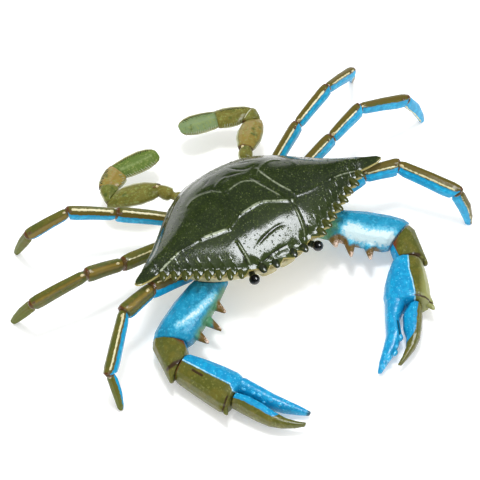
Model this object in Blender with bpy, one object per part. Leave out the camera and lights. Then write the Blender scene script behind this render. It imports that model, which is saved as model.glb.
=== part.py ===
"""Toy blue crab figure: a hand-painted moulded vinyl crab, standing with its claws folded forward.

The crab faces -Y, +X is its left side and +Z is up, with the floor at z = 0.
Lengths are in millimetres in this script and are turned to metres when a mesh is made.
Run with: blender --background --python part.py
"""
import math

import bmesh
import bpy
from mathutils import Vector

# ---------------------------------------------------------------- driving dimensions (mm)
MM = 0.001
GAP = 0.3                     # clearance between neighbouring pieces
SPAN = 110.0                  # carapace width between the tips of its lateral spines
HALF_SPAN = SPAN / 2
BACK_Y = 34.6                 # rear edge of the carapace
BODY_CENTRE_Y = 8.0           # middle of the body under the carapace
CREST_Y = 11.0                # the dome's level crest runs across the carapace here
CREST_SHARE = 0.35            # half length of that crest, as a share of the half span
APEX_Z = 34.2                 # top of the dome
RIM_Z = 22.0                  # height of the carapace edge on the line of symmetry
RIM_RISE = 7.0                # how much higher the edge is at the lateral spines
RIM_POWER = (1.8, 3.2)        # how late that rise comes, along the front edge and along the back
TOOTH_COUNT = 8               # teeth on each front edge, besides the long lateral spine
FIRST_TOOTH = Vector((18.3, -15.9))
LAST_TOOTH = Vector((44.3, -3.2))
TOOTH_LENGTH = 3.1
EDGE_HALF = 0.5               # half the thickness of a tooth at its tip
ROOT_DROP = 1.9               # underside of the carapace below its rim height
BODY_DROP = 0.45              # room between that underside and the body
EYE_RADIUS = 2.1
SIDE = {"left": 1, "right": -1}

# Where the walking legs' middle lines leave the body, and their four lengths with a heading
# (0 = straight out sideways, 90 = straight back) and a pitch (positive = rising), in degrees.
LEG_ROOT = {1: (28.0, 3.5, 12.6), 2: (24.0, 17.5, 14.5), 3: (19.0, 24.8, 15.0)}
LEG_POSE = {
    "right": {1: ((22.8, -11, 23), (14.4, -15, 2), (23.7, -45, -15), (17.7, -92, -72)),
              2: ((27.3, -2, 11.5), (15.7, 1, 15), (22.1, 8, -14.5), (22.3, 64, -60)),
              3: ((25.8, 28.5, 15.5), (18.7, 24, 14), (16.7, 12, -21), (23.4, 79, -64))},
    "left": {1: ((21.9, -7, 24), (14.1, -17, 2), (24.1, -53, -14), (17.7, -54, -68)),
             2: ((26.7, 14.5, 12), (16.5, 13, 14), (21.2, -7, -15), (21.6, 1, -62)),
             3: ((25.6, 26, 16), (19.2, 18, 14), (18.1, 20, -19), (25.6, 52, -55))},
}
# Blade height and thickness of each leg's segments.
LEG_SIZE = {
    1: {"merus": (7.4, 5.4), "carpus": (7.2, 5.4), "propodus": (7.2, 4.6), "dactyl": (5.8, 4.0)},
    2: {"merus": (6.6, 4.6), "carpus": (6.2, 4.6), "propodus": (5.6, 4.2), "dactyl": (4.8, 3.6)},
    3: {"merus": (6.4, 4.4), "carpus": (5.8, 4.2), "propodus": (5.2, 4.0), "dactyl": (4.6, 3.4)}}
LEG_BOW = 0.35                # how far the middle of a segment bulges upwards
FOOT_BOW = {"right": {1: 1.3, 2: 0.2, 3: 0.2}, "left": {1: 1.3, 2: 1.3, 3: 0.6}}
LEG_TILT = 12.0               # degrees by which a leg's blade leans outwards
LEG_SEGMENTS = ("merus", "carpus", "propodus", "dactyl")

CLAW_ROOT = (22.0, -3.5, 14.0)
CLAW_POSE = {"right": ((32.4, -24.5, -9), (11.5, -74, -5), (23.7, -117, 0)),
             "left": ((33.2, -37.5, -9), (11.1, -101, -5), (20.7, -126, 0))}
# The upper arm's middle lies this far in front of the line between its joints, and each of its
# front spines is (share of the arm's length, reach of the tip in front of that line).
ARM_LEAN = {"right": 0.5, "left": -0.5}
ARM_SPINES = {"right": ((0.37, 11.6), (0.59, 14.2), (0.8, 12.9)),
              "left": ((0.275, 9.6), (0.455, 13.1), (0.68, 13.0))}
ARM_SPINE_RADIUS = 2.7
# The wrist's outer point, as (distance past the joint along the hand, distance out from it).
WRIST_TIP = {"right": (1.0, 6.6), "left": (1.6, 6.3)}
HAND_START = 0.5              # the hand starts this far past the wrist joint, square to its length
NOTCH_OUT = 4.9               # the notch that clears the hand inside the wrist's point
# The palm, as (share of its length, half width, half height, shift towards the inner side).
PALM = {
    "right": ((0.0, 5.0, 5.0, 1.0), (0.06, 5.7, 5.6, 1.0), (0.3, 6.5, 6.3, 0.9), (0.62, 7.4, 6.8, 0.6),
              (0.88, 7.9, 6.8, 0.2), (1.0, 7.2, 6.0, 0.0)),
    "left": ((0.0, 5.3, 5.0, 1.4), (0.06, 5.9, 5.6, 1.5), (0.3, 7.3, 6.3, 1.6), (0.62, 8.6, 6.8, 1.6),
             (0.88, 9.0, 6.8, 1.5), (1.0, 8.4, 6.0, 1.4))}
# The fingers, from the knuckle, as (distance along, distance out, half width, half height); each
# sinks towards the floor by its drop.
FIXED_FINGER = {
    "right": ((0.5, -4.2, 3.2, 5.2), (6.0, -4.9, 2.9, 4.7), (12.0, -5.6, 2.7, 3.9), (17.5, -7.0, 2.3, 2.9),
              (22.5, -8.6, 1.5, 1.9), (25.8, -9.7, 0.8, 0.9)),
    "left": ((0.5, -6.0, 3.9, 5.2), (6.5, -7.0, 2.7, 4.7), (13.0, -6.2, 3.0, 4.0), (18.5, -7.7, 2.7, 3.0),
             (23.5, -9.9, 1.7, 2.0), (27.5, -11.3, 0.8, 0.9))}
MOVING_FINGER = {
    "right": ((0.8, 1.9, 2.3, 4.2), (5.0, 1.3, 2.9, 4.6), (11.0, 1.2, 3.0, 4.2), (16.0, 1.2, 2.6, 3.4),
              (20.5, 0.3, 1.9, 2.4), (24.5, -1.6, 1.3, 1.6), (27.2, -3.5, 0.85, 0.9)),
    "left": ((0.8, 1.5, 2.6, 4.2), (5.0, 0.6, 3.7, 4.6), (10.0, 0.5, 3.5, 4.2), (14.0, 0.8, 2.6, 3.4),
             (18.0, -0.1, 1.8, 2.4), (22.0, -2.1, 1.15, 1.6), (25.0, -4.0, 0.8, 0.9))}
FINGER_DROP = {"fixed": 5.4, "moving": 3.2}
# The spur on the palm's outer corner: its base and its tip as (distance along, distance out).
SPUR = ((-3.2, 5.2), (1.6, 8.6))
SPUR_RADIUS = 2.6

SWIM_ROOT = (11.0, 27.6, 17.2)
SWIM_POSE = {
    "right": ((15.3, 54.2, 4), (18.35, 33.7, -16), (5.4, 98, 0), (10.7, 143, -11), (17.0, -176, 4)),
    "left": ((14.1, 53.9, 4), (18.25, 47.2, -14), (4.4, 85, 0), (12.2, 149, -9), (15.6, 169, 4))}
SWIM_SIZE = {"basis": (5.6, 4.4), "merus": (10.2, 5.0), "carpus": (7.2, 4.8),
             "propodus": (10.0, 3.9), "paddle": (10.4, 2.4)}
# Each segment's outline, as (share of its length, share of its width).
SWIM_PROFILE = {
    "basis": ((0.0, 0.8), (0.4, 0.86), (0.56, 0.7), (0.66, 0.98), (0.86, 1.05), (1.0, 0.72)),
    "merus": ((0.0, 0.52), (0.1, 0.72), (0.35, 0.97), (0.6, 1.0), (0.85, 0.88), (1.0, 0.66)),
    "carpus": ((0.0, 0.8), (0.3, 1.0), (0.75, 1.0), (1.0, 0.8)),
    "propodus": ((0.0, 0.6), (0.2, 0.88), (0.5, 1.0), (0.8, 1.0), (1.0, 0.84)),
    "paddle": ((0.0, 0.78), (0.15, 0.92), (0.4, 1.0), (0.65, 1.0), (0.85, 0.84), (0.95, 0.62), (1.0, 0.34)),
}

UP = Vector((0, 0, 1))

# ---------------------------------------------------------------- an empty scene, its collections
for old in list(bpy.data.objects):
    bpy.data.objects.remove(old, do_unlink=True)

crab = bpy.data.collections.new("toy_blue_crab")
cutters = bpy.data.collections.new("toy_blue_crab_cutters")
bpy.context.scene.collection.children.link(crab)
bpy.context.scene.collection.children.link(cutters)
stand_point = bpy.data.objects.new("crab_origin", None)
crab.objects.link(stand_point)


def paint(name, colour, roughness=0.2):
    """A glossy painted vinyl finish."""
    material = bpy.data.materials.new(name)
    material.use_nodes = True
    shader = material.node_tree.nodes["Principled BSDF"]
    shader.inputs["Base Color"].default_value = (*colour, 1)
    shader.inputs["Roughness"].default_value = roughness
    shader.inputs["Metallic"].default_value = 0.0
    return material


SHELL_GREEN = paint("shell_green", (0.02, 0.045, 0.012), 0.15)
LIMB_OLIVE = paint("limb_olive", (0.13, 0.1, 0.012))
CLAW_BLUE = paint("claw_blue", (0.01, 0.3, 0.75))
SWIM_GREEN = paint("swim_green", (0.14, 0.19, 0.04))
BELLY_CREAM = paint("belly_cream", (0.62, 0.55, 0.34))
EYE_BLACK = paint("eye_black", (0.01, 0.01, 0.01), 0.08)


# ---------------------------------------------------------------- mesh helpers
def add_object(name, bm, material, collection=crab):
    """Turn a bmesh in millimetres into a smooth-shaded object in metres."""
    bmesh.ops.recalc_face_normals(bm, faces=bm.faces)
    bmesh.ops.scale(bm, vec=(MM, MM, MM), verts=bm.verts)
    mesh = bpy.data.meshes.new(name)
    bm.to_mesh(mesh)
    bm.free()
    mesh.shade_smooth()
    mesh.set_sharp_from_angle(angle=math.radians(50))
    item = bpy.data.objects.new(name, mesh)
    item.data.materials.append(material)
    item.parent = stand_point
    collection.objects.link(item)
    if collection is cutters:
        item.hide_render = True
        item.display_type = "WIRE"
    return item


def loft(rings):
    """Skin a row of closed rings that all have the same number of points, with flat caps."""
    bm = bmesh.new()
    loops = [[bm.verts.new(point) for point in ring] for ring in rings]
    for lower, upper in zip(loops, loops[1:]):
        for k in range(len(lower)):
            n = (k + 1) % len(lower)
            bm.faces.new((lower[k], lower[n], upper[n], upper[k]))
    bm.faces.new(loops[0])
    bm.faces.new(loops[-1])
    return bm


def frame_along(direction):
    """Unit vectors along, across and over a segment; across is level."""
    along = direction.normalized()
    across = along.cross(UP).normalized()
    return along, across, across.cross(along)


def oval(centre, across, over, half_across, half_over, count, power=2.3, turn=0.0):
    """A ring of points on a rounded-rectangle oval."""
    ring = []
    c_turn, s_turn = math.cos(turn), math.sin(turn)
    for k in range(count):
        angle = 2 * math.pi * k / count
        c, s = math.cos(angle), math.sin(angle)
        x = math.copysign(abs(c) ** (2 / power), c) * half_across
        y = math.copysign(abs(s) ** (2 / power), s) * half_over
        x, y = x * c_turn - y * s_turn, x * s_turn + y * c_turn
        ring.append(centre + across * x + over * y)
    return ring


def onto_plane(ring, along, point, normal, share):
    """Slide a ring's points along its segment towards a mitre plane, by a share of the way."""
    slope = along.dot(normal)
    level = sum((p for p in ring), Vector()) / len(ring)
    shift_centre = (point - level).dot(normal) / slope
    moved = []
    for p in ring:
        whole = (point - p).dot(normal) / slope
        moved.append(p + along * (whole - shift_centre) * share)
    return moved


def segment_rings(start, end, stations, start_mitre, end_mitre, count, bow=0.0, turn=0.0, power=2.3):
    """Rings of one limb segment; a station is (share of the length, half across, half over)."""
    along, across, over = frame_along(end - start)
    start_mitre = start_mitre or along
    end_mitre = end_mitre or along
    rings = []
    for share, half_across, half_over in stations:
        centre = start.lerp(end, share) + over * bow * 4 * share * (1 - share)
        ring = oval(centre, across, over, half_across, half_over, count, power, turn)
        ring = onto_plane(ring, along, centre, start_mitre, (1 - share) ** 2)
        ring = onto_plane(ring, along, centre, end_mitre, share ** 2)
        rings.append(ring)
    return rings


def steps_from(root, pose, side):
    """Joint positions along a limb, from its root and its lengths, headings and pitches."""
    points = [Vector((root[0] * SIDE[side], root[1], root[2]))]
    for length, heading, pitch in pose:
        level = length * math.cos(math.radians(pitch))
        points.append(points[-1] + Vector((
            level * math.cos(math.radians(heading)) * SIDE[side],
            level * math.sin(math.radians(heading)),
            length * math.sin(math.radians(pitch)))))
    return points


def mitre_normals(points):
    """At each joint, the normal of the plane that halves the bend; None at both ends."""
    normals = [None]
    for before, here, after in zip(points, points[1:], points[2:]):
        normals.append(((here - before).normalized() + (after - here).normalized()).normalized())
    return normals + [None]


def shorten(start, end, first_mitre, last_mitre):
    """Pull a segment's ends off its mitre planes by half the clearance each."""
    along = (end - start).normalized()
    if first_mitre:
        start = start + along * (GAP / 2 / along.dot(first_mitre))
    if last_mitre:
        end = end - along * (GAP / 2 / along.dot(last_mitre))
    return start, end


def cut_away(item, cutter):
    """Cut a copy of a neighbour, grown by the clearance, out of a piece."""
    modifier = item.modifiers.new("clear of neighbour", "BOOLEAN")
    modifier.operation = "DIFFERENCE"
    modifier.solver = "EXACT"
    modifier.object = cutter


def join_on(item, part):
    """Fuse a moulded-on detail to its piece."""
    modifier = item.modifiers.new("moulded on", "BOOLEAN")
    modifier.operation = "UNION"
    modifier.solver = "EXACT"
    modifier.object = part


def slice_at_floor(bm):
    """Cut a foot off level at z = 0 and close it with a flat."""
    cut = bmesh.ops.bisect_plane(bm, geom=bm.verts[:] + bm.edges[:] + bm.faces[:], dist=1e-4,
                                 plane_co=(0, 0, 0), plane_no=(0, 0, -1), clear_outer=True)
    edges = [e for e in cut["geom_cut"] if isinstance(e, bmesh.types.BMEdge)]
    bmesh.ops.contextual_create(bm, geom=edges)


# ---------------------------------------------------------------- carapace
def rim_height(x, y):
    """Height of the carapace edge, which rises towards the lateral spines."""
    towards_back = min(max(y / 20, 0.0), 1.0)
    power = RIM_POWER[0] + (RIM_POWER[1] - RIM_POWER[0]) * towards_back
    return RIM_Z + RIM_RISE * (abs(x) / HALF_SPAN) ** power


def half_outline():
    """Edge points of one half from the middle of the front to the middle of the back.

    Each entry is (edge point, the point at the root of the teeth behind it).
    """
    front = [((0.0, -15.8), (0.0, -13.6)), ((3.4, -18.0), (3.2, -13.4)), ((6.1, -15.9), (5.9, -13.2)),
             ((8.7, -17.9), (8.5, -12.8)), ((11.2, -14.9), (11.0, -12.2)), ((14.3, -13.9), (13.8, -11.6))]
    row = LAST_TOOTH - FIRST_TOOTH
    pitch = row / (TOOTH_COUNT - 1)
    inward = Vector((-row.y, row.x)).normalized()
    teeth = []
    for k in range(TOOTH_COUNT):
        tip = FIRST_TOOTH + pitch * k
        back = tip + inward * TOOTH_LENGTH
        root = back + inward * 0.9
        teeth.append((tip - pitch * 0.34 + inward * TOOTH_LENGTH * 0.45, root - pitch * 0.3))
        teeth.append((tip, root))
        teeth.append((tip + pitch * 0.36 + inward * TOOTH_LENGTH * 0.9, root + pitch * 0.4))
    spine = [((48.6, -1.0), (45.6, 2.6)), ((52.6, -1.4), (48.0, 2.9)), ((HALF_SPAN - 0.4, -0.9), (49.2, 3.0)),
             ((HALF_SPAN, 0.1), (49.4, 3.4)), ((53.9, 1.7), (48.6, 4.0)), ((49.5, 4.6), (46.4, 5.6))]
    back = [((45.0, 8.3), (43.2, 7.6)), ((40.5, 12.0), (39.2, 11.0)), ((35.5, 16.7), (34.3, 15.6)),
            ((30.0, 21.9), (28.9, 20.7)), ((24.0, 27.0), (23.1, 25.7)), ((18.2, 30.6), (17.6, 29.2)),
            ((12.8, 33.0), (12.4, 31.4)), ((6.5, BACK_Y - 0.5), (6.3, BACK_Y - 2.2)),
            ((0.0, BACK_Y), (0.0, BACK_Y - 1.7))]
    return [(Vector(edge), Vector(root)) for edge, root in front + teeth + spine + back]


def whole_outline():
    """Both halves as one closed loop."""
    left = half_outline()
    mirror = [(Vector((-e.x, e.y)), Vector((-r.x, r.y))) for e, r in reversed(left[1:-1])]
    return left + mirror


def crest_point(root):
    """The point of the dome's level crest that a ray from this root runs to."""
    return Vector((root.x * CREST_SHARE, CREST_Y))


def dome_share(rho, root):
    """Rise of the dome along a ray: rho is 1 at the tooth roots and 0 at the crest.

    The front slope is nearly straight, while the sides and the back stand steeper at the edge.
    """
    towards = (root - crest_point(root)).normalized()
    front = max(0.0, -towards.y)
    fullness = 2.8 - 1.1 * front ** 1.5
    return max(0.0, 1.0 - rho ** fullness) ** (0.5 + 0.12 * front)


def dome_point(root, rho):
    """A point of the carapace's upper surface on the ray from the crest to this root."""
    crest = crest_point(root)
    level = crest.lerp(root, rho)
    rim = rim_height(root.x, root.y) + 1.2
    crest_z = APEX_Z - 1.5 * (abs(root.x) / HALF_SPAN) ** 2
    return Vector((level.x, level.y, rim + (crest_z - rim) * dome_share(rho, root)))


def make_carapace():
    outline = whole_outline()
    upper_steps = (0.97, 0.89, 0.76, 0.56, 0.3, 0.03)
    lower_steps = (0.55, 0.03)
    rings = []
    for rho in reversed(lower_steps):
        ring = []
        for edge, root in outline:
            flat = crest_point(root).lerp(root, rho)
            ring.append(Vector((flat.x, flat.y, rim_height(flat.x, flat.y) - ROOT_DROP)))
        rings.append(ring)
    rings.append([Vector((r.x, r.y, rim_height(r.x, r.y) - ROOT_DROP)) for e, r in outline])
    rings.append([Vector((e.x, e.y, rim_height(e.x, e.y) - EDGE_HALF)) for e, r in outline])
    rings.append([Vector((e.x, e.y, rim_height(e.x, e.y) + EDGE_HALF)) for e, r in outline])
    rings.append([dome_point(r, 1.0) for e, r in outline])
    for rho in upper_steps:
        rings.append([dome_point(r, rho) for e, r in outline])
    return add_object("carapace", loft(rings), SHELL_GREEN)


# ---------------------------------------------------------------- body under the carapace
BODY_LEVELS = ((38.0, -14.6, 29.0, None), (36.5, -14.8, 28.6, 18.6), (31.0, -12.6, 27.4, 15.0),
               (25.0, -9.2, 24.0, 11.6), (19.0, -5.6, 20.0, 9.8))
BODY_POINTS = 40


def body_top(x, y):
    """Height of the body's upper face, just under the carapace."""
    return rim_height(x, y) - ROOT_DROP - BODY_DROP


def body_level(half_width, front, back, height, grow):
    """One level ring of the body; with no height it follows the underside of the carapace."""
    ring = []
    for k in range(BODY_POINTS):
        angle = 2 * math.pi * k / BODY_POINTS
        c, s = math.cos(angle), math.sin(angle)
        x = (half_width + grow) * math.copysign(abs(c) ** 0.95, c)
        depth = (back - BODY_CENTRE_Y if s > 0 else BODY_CENTRE_Y - front) + grow
        y = BODY_CENTRE_Y + depth * math.copysign(abs(s) ** 0.95, s)
        z = body_top(x, y) + grow if height is None else height
        ring.append(Vector((x, y, z)))
    return ring


def body_mesh(grow):
    """The body's solid, or one grown by the clearance to cut the limbs with."""
    rings = [body_level(*level, grow) for level in BODY_LEVELS]
    rings[-1] = [p - UP * grow for p in rings[-1]]
    top_edge = rings[0]
    for rho in (0.6, 0.3, 0.03):
        inner = [crest_point(p).lerp(p.xy, rho) for p in top_edge]
        rings.insert(0, [Vector((p.x, p.y, body_top(p.x, p.y) + grow)) for p in inner])
    return loft(rings)


def make_body():
    lip = add_object("front_lip", loft(lip_rings()), BELLY_CREAM, cutters)
    body = add_object("thorax", body_mesh(0.0), BELLY_CREAM)
    join_on(body, lip)
    return body


def lip_rings():
    """The ledge under the front teeth, between the eyes."""
    rings = []
    for y, half_width, top, drop in ((-10.0, 9.4, 19.6, 4.4), (-14.4, 10.0, 19.7, 3.0),
                                     (-16.3, 8.6, 19.6, 2.0), (-17.3, 5.8, 19.3, 1.0)):
        centre = Vector((0, y, top - drop / 2))
        rings.append(oval(centre, Vector((1, 0, 0)), UP, half_width, drop / 2, 12, 3.0))
    return rings


def make_abdomen():
    """The narrow tail plate folded flat under the body, an inverted T."""
    plate = ((0.0, -4.5), (1.4, -3.0), (2.0, 3.0), (3.2, 9.0), (4.4, 12.0), (8.4, 14.0), (9.0, 16.6),
             (7.0, 18.4))
    outline = list(plate) + [(-x, y) for x, y in reversed(plate) if x > 0]
    top = BODY_LEVELS[-1][3] - GAP
    rings = [[Vector((x * inset, 7.0 + (y - 7.0) * inset, z)) for x, y in outline]
             for z, inset in ((top, 1.0), (top - 0.9, 1.0), (top - 1.3, 0.9))]
    return add_object("abdomen", loft(rings), BELLY_CREAM)


def make_maxilliped(side):
    """One of the two flat doors that close over the mouth."""
    s = SIDE[side]
    top, foot = Vector((4.3 * s, -13.3, 15.0)), Vector((3.4 * s, -6.4, 9.0))
    along, across, over = frame_along(foot - top)
    out = over if over.y < 0 else -over
    rings = []
    for share, half in ((0.0, 2.6), (0.12, 3.4), (0.6, 3.2), (0.9, 2.4), (1.0, 1.6)):
        centre = top.lerp(foot, share) + out * 1.6
        rings.append(oval(centre, across, out, half, 0.8, 10, 3.0))
    return add_object(side + "_maxilliped", loft(rings), BELLY_CREAM)


def make_eye(side):
    """A short stalk out of the eye socket, and the glossy ball on it."""
    s = SIDE[side]
    root, centre = Vector((12.6 * s, -12.6, 19.6)), Vector((14.2 * s, -17.4, 21.6))
    along, across, over = frame_along(centre - root)
    foot = centre - along * (EYE_RADIUS + GAP)
    rings = [oval(root.lerp(foot, share), across, over, half, half, 8)
             for share, half in ((0.0, 1.3), (0.7, 1.2), (1.0, 1.35))]
    stalk = add_object(side + "_eyestalk", loft(rings), SHELL_GREEN)
    bm = bmesh.new()
    bmesh.ops.create_uvsphere(bm, u_segments=12, v_segments=8, radius=EYE_RADIUS)
    bmesh.ops.translate(bm, vec=centre, verts=bm.verts)
    add_object(side + "_eye", bm, EYE_BLACK)
    return stalk


# ---------------------------------------------------------------- walking legs
def blade_stations(height, thickness):
    """A segment that starts narrow at its joint and flares a little at its far end."""
    return [(share, thickness / 2 * size, height / 2 * size) for share, size in
            ((0.0, 0.72), (0.1, 0.92), (0.5, 1.0), (0.88, 1.06), (1.0, 0.97))]


def dactyl_stations(height, thickness):
    """A foot that tapers to a blunt tip, which the floor cuts level."""
    return [(share, thickness / 2 * size, height / 2 * size) for share, size in
            ((0.0, 0.72), (0.12, 0.97), (0.45, 0.94), (0.8, 0.7), (1.0, 0.46))]


def make_leg(side, number, cutter):
    points = steps_from(LEG_ROOT[number], LEG_POSE[side][number], side)
    mitres = mitre_normals(points)
    tilt = math.radians(LEG_TILT) * SIDE[side]
    for k, segment in enumerate(LEG_SEGMENTS):
        height, thickness = LEG_SIZE[number][segment]
        start, end = shorten(points[k], points[k + 1], mitres[k], mitres[k + 1])
        if segment == "dactyl":
            stations = dactyl_stations(height, thickness)
            bow = FOOT_BOW[side][number]
        else:
            stations = blade_stations(height, thickness)
            bow = LEG_BOW
        rings = segment_rings(start, end, stations, mitres[k], mitres[k + 1], 10, bow, tilt)
        bm = loft(rings)
        if segment == "dactyl":
            slice_at_floor(bm)
        item = add_object(f"{side}_leg{number}_{segment}", bm, LIMB_OLIVE)
        if segment == "merus":
            cut_away(item, cutter)


# ---------------------------------------------------------------- claws
def make_claw(side, cutter):
    points = steps_from(CLAW_ROOT, CLAW_POSE[side], side)
    mitres = mitre_normals(points)
    make_claw_merus(side, points, mitres, cutter)
    make_claw_carpus(side, points)
    make_claw_hand(side, points)


def make_cone(name, base, tip, radius, count=8):
    """A stout spine with a blunt tip."""
    along, across, over = frame_along(tip - base)
    rings = [oval(base.lerp(tip, share), across, over, radius * size, radius * size, count, 2.0)
             for share, size in ((0.0, 1.0), (0.45, 0.7), (0.85, 0.35), (1.0, 0.18))]
    return add_object(name, loft(rings), LIMB_OLIVE, cutters)


def make_claw_merus(side, points, mitres, cutter):
    """The upper arm: broad, flattened, with three spines along its front edge."""
    start, end = shorten(points[0], points[1], None, mitres[1])
    along, across, over = frame_along(end - start)
    front = across if across.y < 0 else -across
    lean = front * ARM_LEAN[side]
    stations = [(0.0, 4.8, 4.4), (0.3, 6.6, 5.4), (0.55, 7.4, 6.0), (0.8, 7.5, 6.2), (0.93, 7.1, 6.0),
                (1.0, 6.2, 5.2)]
    rings = segment_rings(start, end, stations, None, mitres[1], 16, bow=1.2)
    rings = [[p + lean for p in ring] for ring in rings]
    arm = add_object(side + "_claw_merus", loft(rings), CLAW_BLUE)
    for k, (share, reach) in enumerate(ARM_SPINES[side]):
        foot = start.lerp(end, share)
        base = foot + front * 4.6 + over * 0.8 - along * 1.2
        tip = foot + front * reach + over * 1.0
        join_on(arm, make_cone(f"{side}_arm_spine_{k}", base, tip, ARM_SPINE_RADIUS))
    cut_away(arm, cutter)


def hand_frame(side, points):
    """Directions of the hand: along it, out to its outer side, and over it."""
    along, across, over = frame_along(points[3] - points[2])
    outer = across if across.x * SIDE[side] > 0 else -across
    return along, outer, over


def make_claw_carpus(side, points):
    """The wrist: a wedge from the elbow to the square start of the hand, with a point beside the hand."""
    elbow, wrist = points[1], points[2]
    bend = (wrist - elbow).normalized()
    near = ((points[1] - points[0]).normalized() + bend).normalized()
    along, outer, over = hand_frame(side, points)
    across = near.cross(UP).normalized()
    hull = []
    for centre, half_wide, half_high in ((elbow + near * GAP / 2, 6.4, 5.2),
                                         (elbow + bend * 1.8 + near * 1.6, 6.8, 5.8)):
        hull += oval(centre, across, across.cross(near), half_wide, half_high, 10, 2.4)
    inwards = PALM[side][0][3]
    for before, half_wide, half_high in ((2.2, 5.8, 5.6), (GAP / 2, 5.0, 5.0)):
        centre = wrist - outer * inwards + along * (HAND_START - before)
        hull += oval(centre, outer, over, half_wide, half_high, 10, 2.4)
    ahead, out = WRIST_TIP[side]
    hull += oval(wrist + outer * (out - 0.6) + along * ahead, outer, over, 0.6, 0.7, 6)
    hull += oval(wrist + outer * (out - 0.8) + along * (ahead - 1.0), outer, over, 0.9, 1.6, 6)
    bm = bmesh.new()
    for point in hull:
        bm.verts.new(point)
    result = bmesh.ops.convex_hull(bm, input=bm.verts)
    leftover = [v for v in result["geom_interior"] if isinstance(v, bmesh.types.BMVert)]
    bmesh.ops.delete(bm, geom=leftover, context="VERTS")
    carpus = add_object(side + "_claw_carpus", bm, LIMB_OLIVE)
    corner = wrist + along * (HAND_START - GAP / 2) + outer * NOTCH_OUT
    notch = [[corner + along * ahead + over * high - outer * inside
              for high, inside in ((-12, 0), (12, 0), (12, 24), (-12, 24))] for ahead in (0, 9)]
    cut_away(carpus, add_object(side + "_hand_clearance", loft(notch), BELLY_CREAM, cutters))


def finger_rings(knuckle, directions, stations, drop, count):
    """Rings of a finger that follows a table of stations from the knuckle."""
    along, outer, over = directions
    rings = []
    for ahead, out, half_wide, half_high in stations:
        centre = knuckle + along * ahead + outer * out - over * drop * ahead / stations[-1][0]
        rings.append(oval(centre, outer, over, half_wide, half_high, count, 2.2))
    return rings


def make_claw_hand(side, points):
    """The palm with its fixed inner finger, and the movable outer finger hinged beside it."""
    directions = hand_frame(side, points)
    along, outer, over = directions
    knuckle = points[3]
    wrist = points[2] + along * (HAND_START + GAP / 2)
    rings = [oval(wrist.lerp(knuckle, share) - outer * inwards, outer, over, half_wide, half_high, 16, 2.4)
             for share, half_wide, half_high, inwards in PALM[side]]
    rings += finger_rings(knuckle, directions, FIXED_FINGER[side], FINGER_DROP["fixed"], 16)
    hand = add_object(side + "_claw_palm", loft(rings), CLAW_BLUE)
    spur_base, spur_tip = [knuckle + along * ahead + outer * out for ahead, out in SPUR]
    join_on(hand, make_cone(side + "_hand_spur", spur_base, spur_tip, SPUR_RADIUS))
    rings = finger_rings(knuckle, directions, MOVING_FINGER[side], FINGER_DROP["moving"], 12)
    add_object(side + "_claw_dactyl", loft(rings), LIMB_OLIVE)


# ---------------------------------------------------------------- swimming legs
def make_swimming_leg(side, cutter):
    points = steps_from(SWIM_ROOT, SWIM_POSE[side], side)
    mitres = mitre_normals(points)
    for k, segment in enumerate(SWIM_PROFILE):
        width, thickness = SWIM_SIZE[segment]
        start, end = shorten(points[k], points[k + 1], mitres[k], mitres[k + 1])
        stations = [(share, width / 2 * size, thickness / 2 * min(1.0, size + 0.15))
                    for share, size in SWIM_PROFILE[segment]]
        rings = segment_rings(start, end, stations, mitres[k], mitres[k + 1], 12, 0.3)
        item = add_object(f"{side}_swim_{segment}", loft(rings), SWIM_GREEN)
        if segment == "basis":
            cut_away(item, cutter)


def stand_on_origin():
    """Move the whole figure so that the middle of its footprint box is the origin."""
    bpy.context.view_layer.update()
    graph = bpy.context.evaluated_depsgraph_get()
    corners = []
    for item in crab.objects:
        if item.type == "MESH":
            ready = item.evaluated_get(graph)
            corners += [ready.matrix_world @ Vector(corner) for corner in ready.bound_box]
    for axis in (0, 1):
        places = [corner[axis] for corner in corners]
        stand_point.location[axis] = -(min(places) + max(places)) / 2
    bpy.context.view_layer.update()


# ---------------------------------------------------------------- put it together
make_carapace()
make_body()
make_abdomen()
limb_cutter = add_object("body_clearance", body_mesh(GAP), BELLY_CREAM, cutters)
for crab_side in SIDE:
    make_maxilliped(crab_side)
    cut_away(make_eye(crab_side), limb_cutter)
    make_claw(crab_side, limb_cutter)
    for leg_number in LEG_ROOT:
        make_leg(crab_side, leg_number, limb_cutter)
    make_swimming_leg(crab_side, limb_cutter)
stand_on_origin()
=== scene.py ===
# %% [markdown]
# # A toy blue crab, painted by hand
# The figure is moulded in soft vinyl, brushed with olive, sky blue and black-green, and varnished until
# it shines. Its solids were made first and can't change, so each piece here starts from its own solid.

# %% Load the solids that everything is built on
import math

import bmesh
import bpy
import numpy as np
from mathutils import Matrix, Vector
from mathutils.bvhtree import BVHTree


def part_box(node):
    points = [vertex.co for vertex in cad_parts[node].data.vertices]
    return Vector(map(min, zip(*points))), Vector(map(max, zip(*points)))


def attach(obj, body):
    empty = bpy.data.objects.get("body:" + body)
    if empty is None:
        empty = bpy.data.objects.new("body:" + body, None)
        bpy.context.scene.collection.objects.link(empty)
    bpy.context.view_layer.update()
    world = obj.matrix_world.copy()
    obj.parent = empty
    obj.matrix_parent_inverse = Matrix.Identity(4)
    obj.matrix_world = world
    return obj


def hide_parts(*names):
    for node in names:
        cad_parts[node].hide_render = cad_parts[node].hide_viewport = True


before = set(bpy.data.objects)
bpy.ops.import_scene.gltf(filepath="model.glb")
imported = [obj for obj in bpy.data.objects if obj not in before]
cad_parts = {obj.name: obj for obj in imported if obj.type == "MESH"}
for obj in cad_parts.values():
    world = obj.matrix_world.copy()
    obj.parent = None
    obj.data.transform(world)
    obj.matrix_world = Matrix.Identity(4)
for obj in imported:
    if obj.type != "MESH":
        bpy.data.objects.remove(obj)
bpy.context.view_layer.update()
MM = 0.001
SIDES = {"left": 1, "right": -1}

# %% [markdown]
# ## Colours
# Paint is chosen as it looks on screen, as hex. Blender mixes light in linear values, so one function
# turns every hex colour into them.

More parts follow.
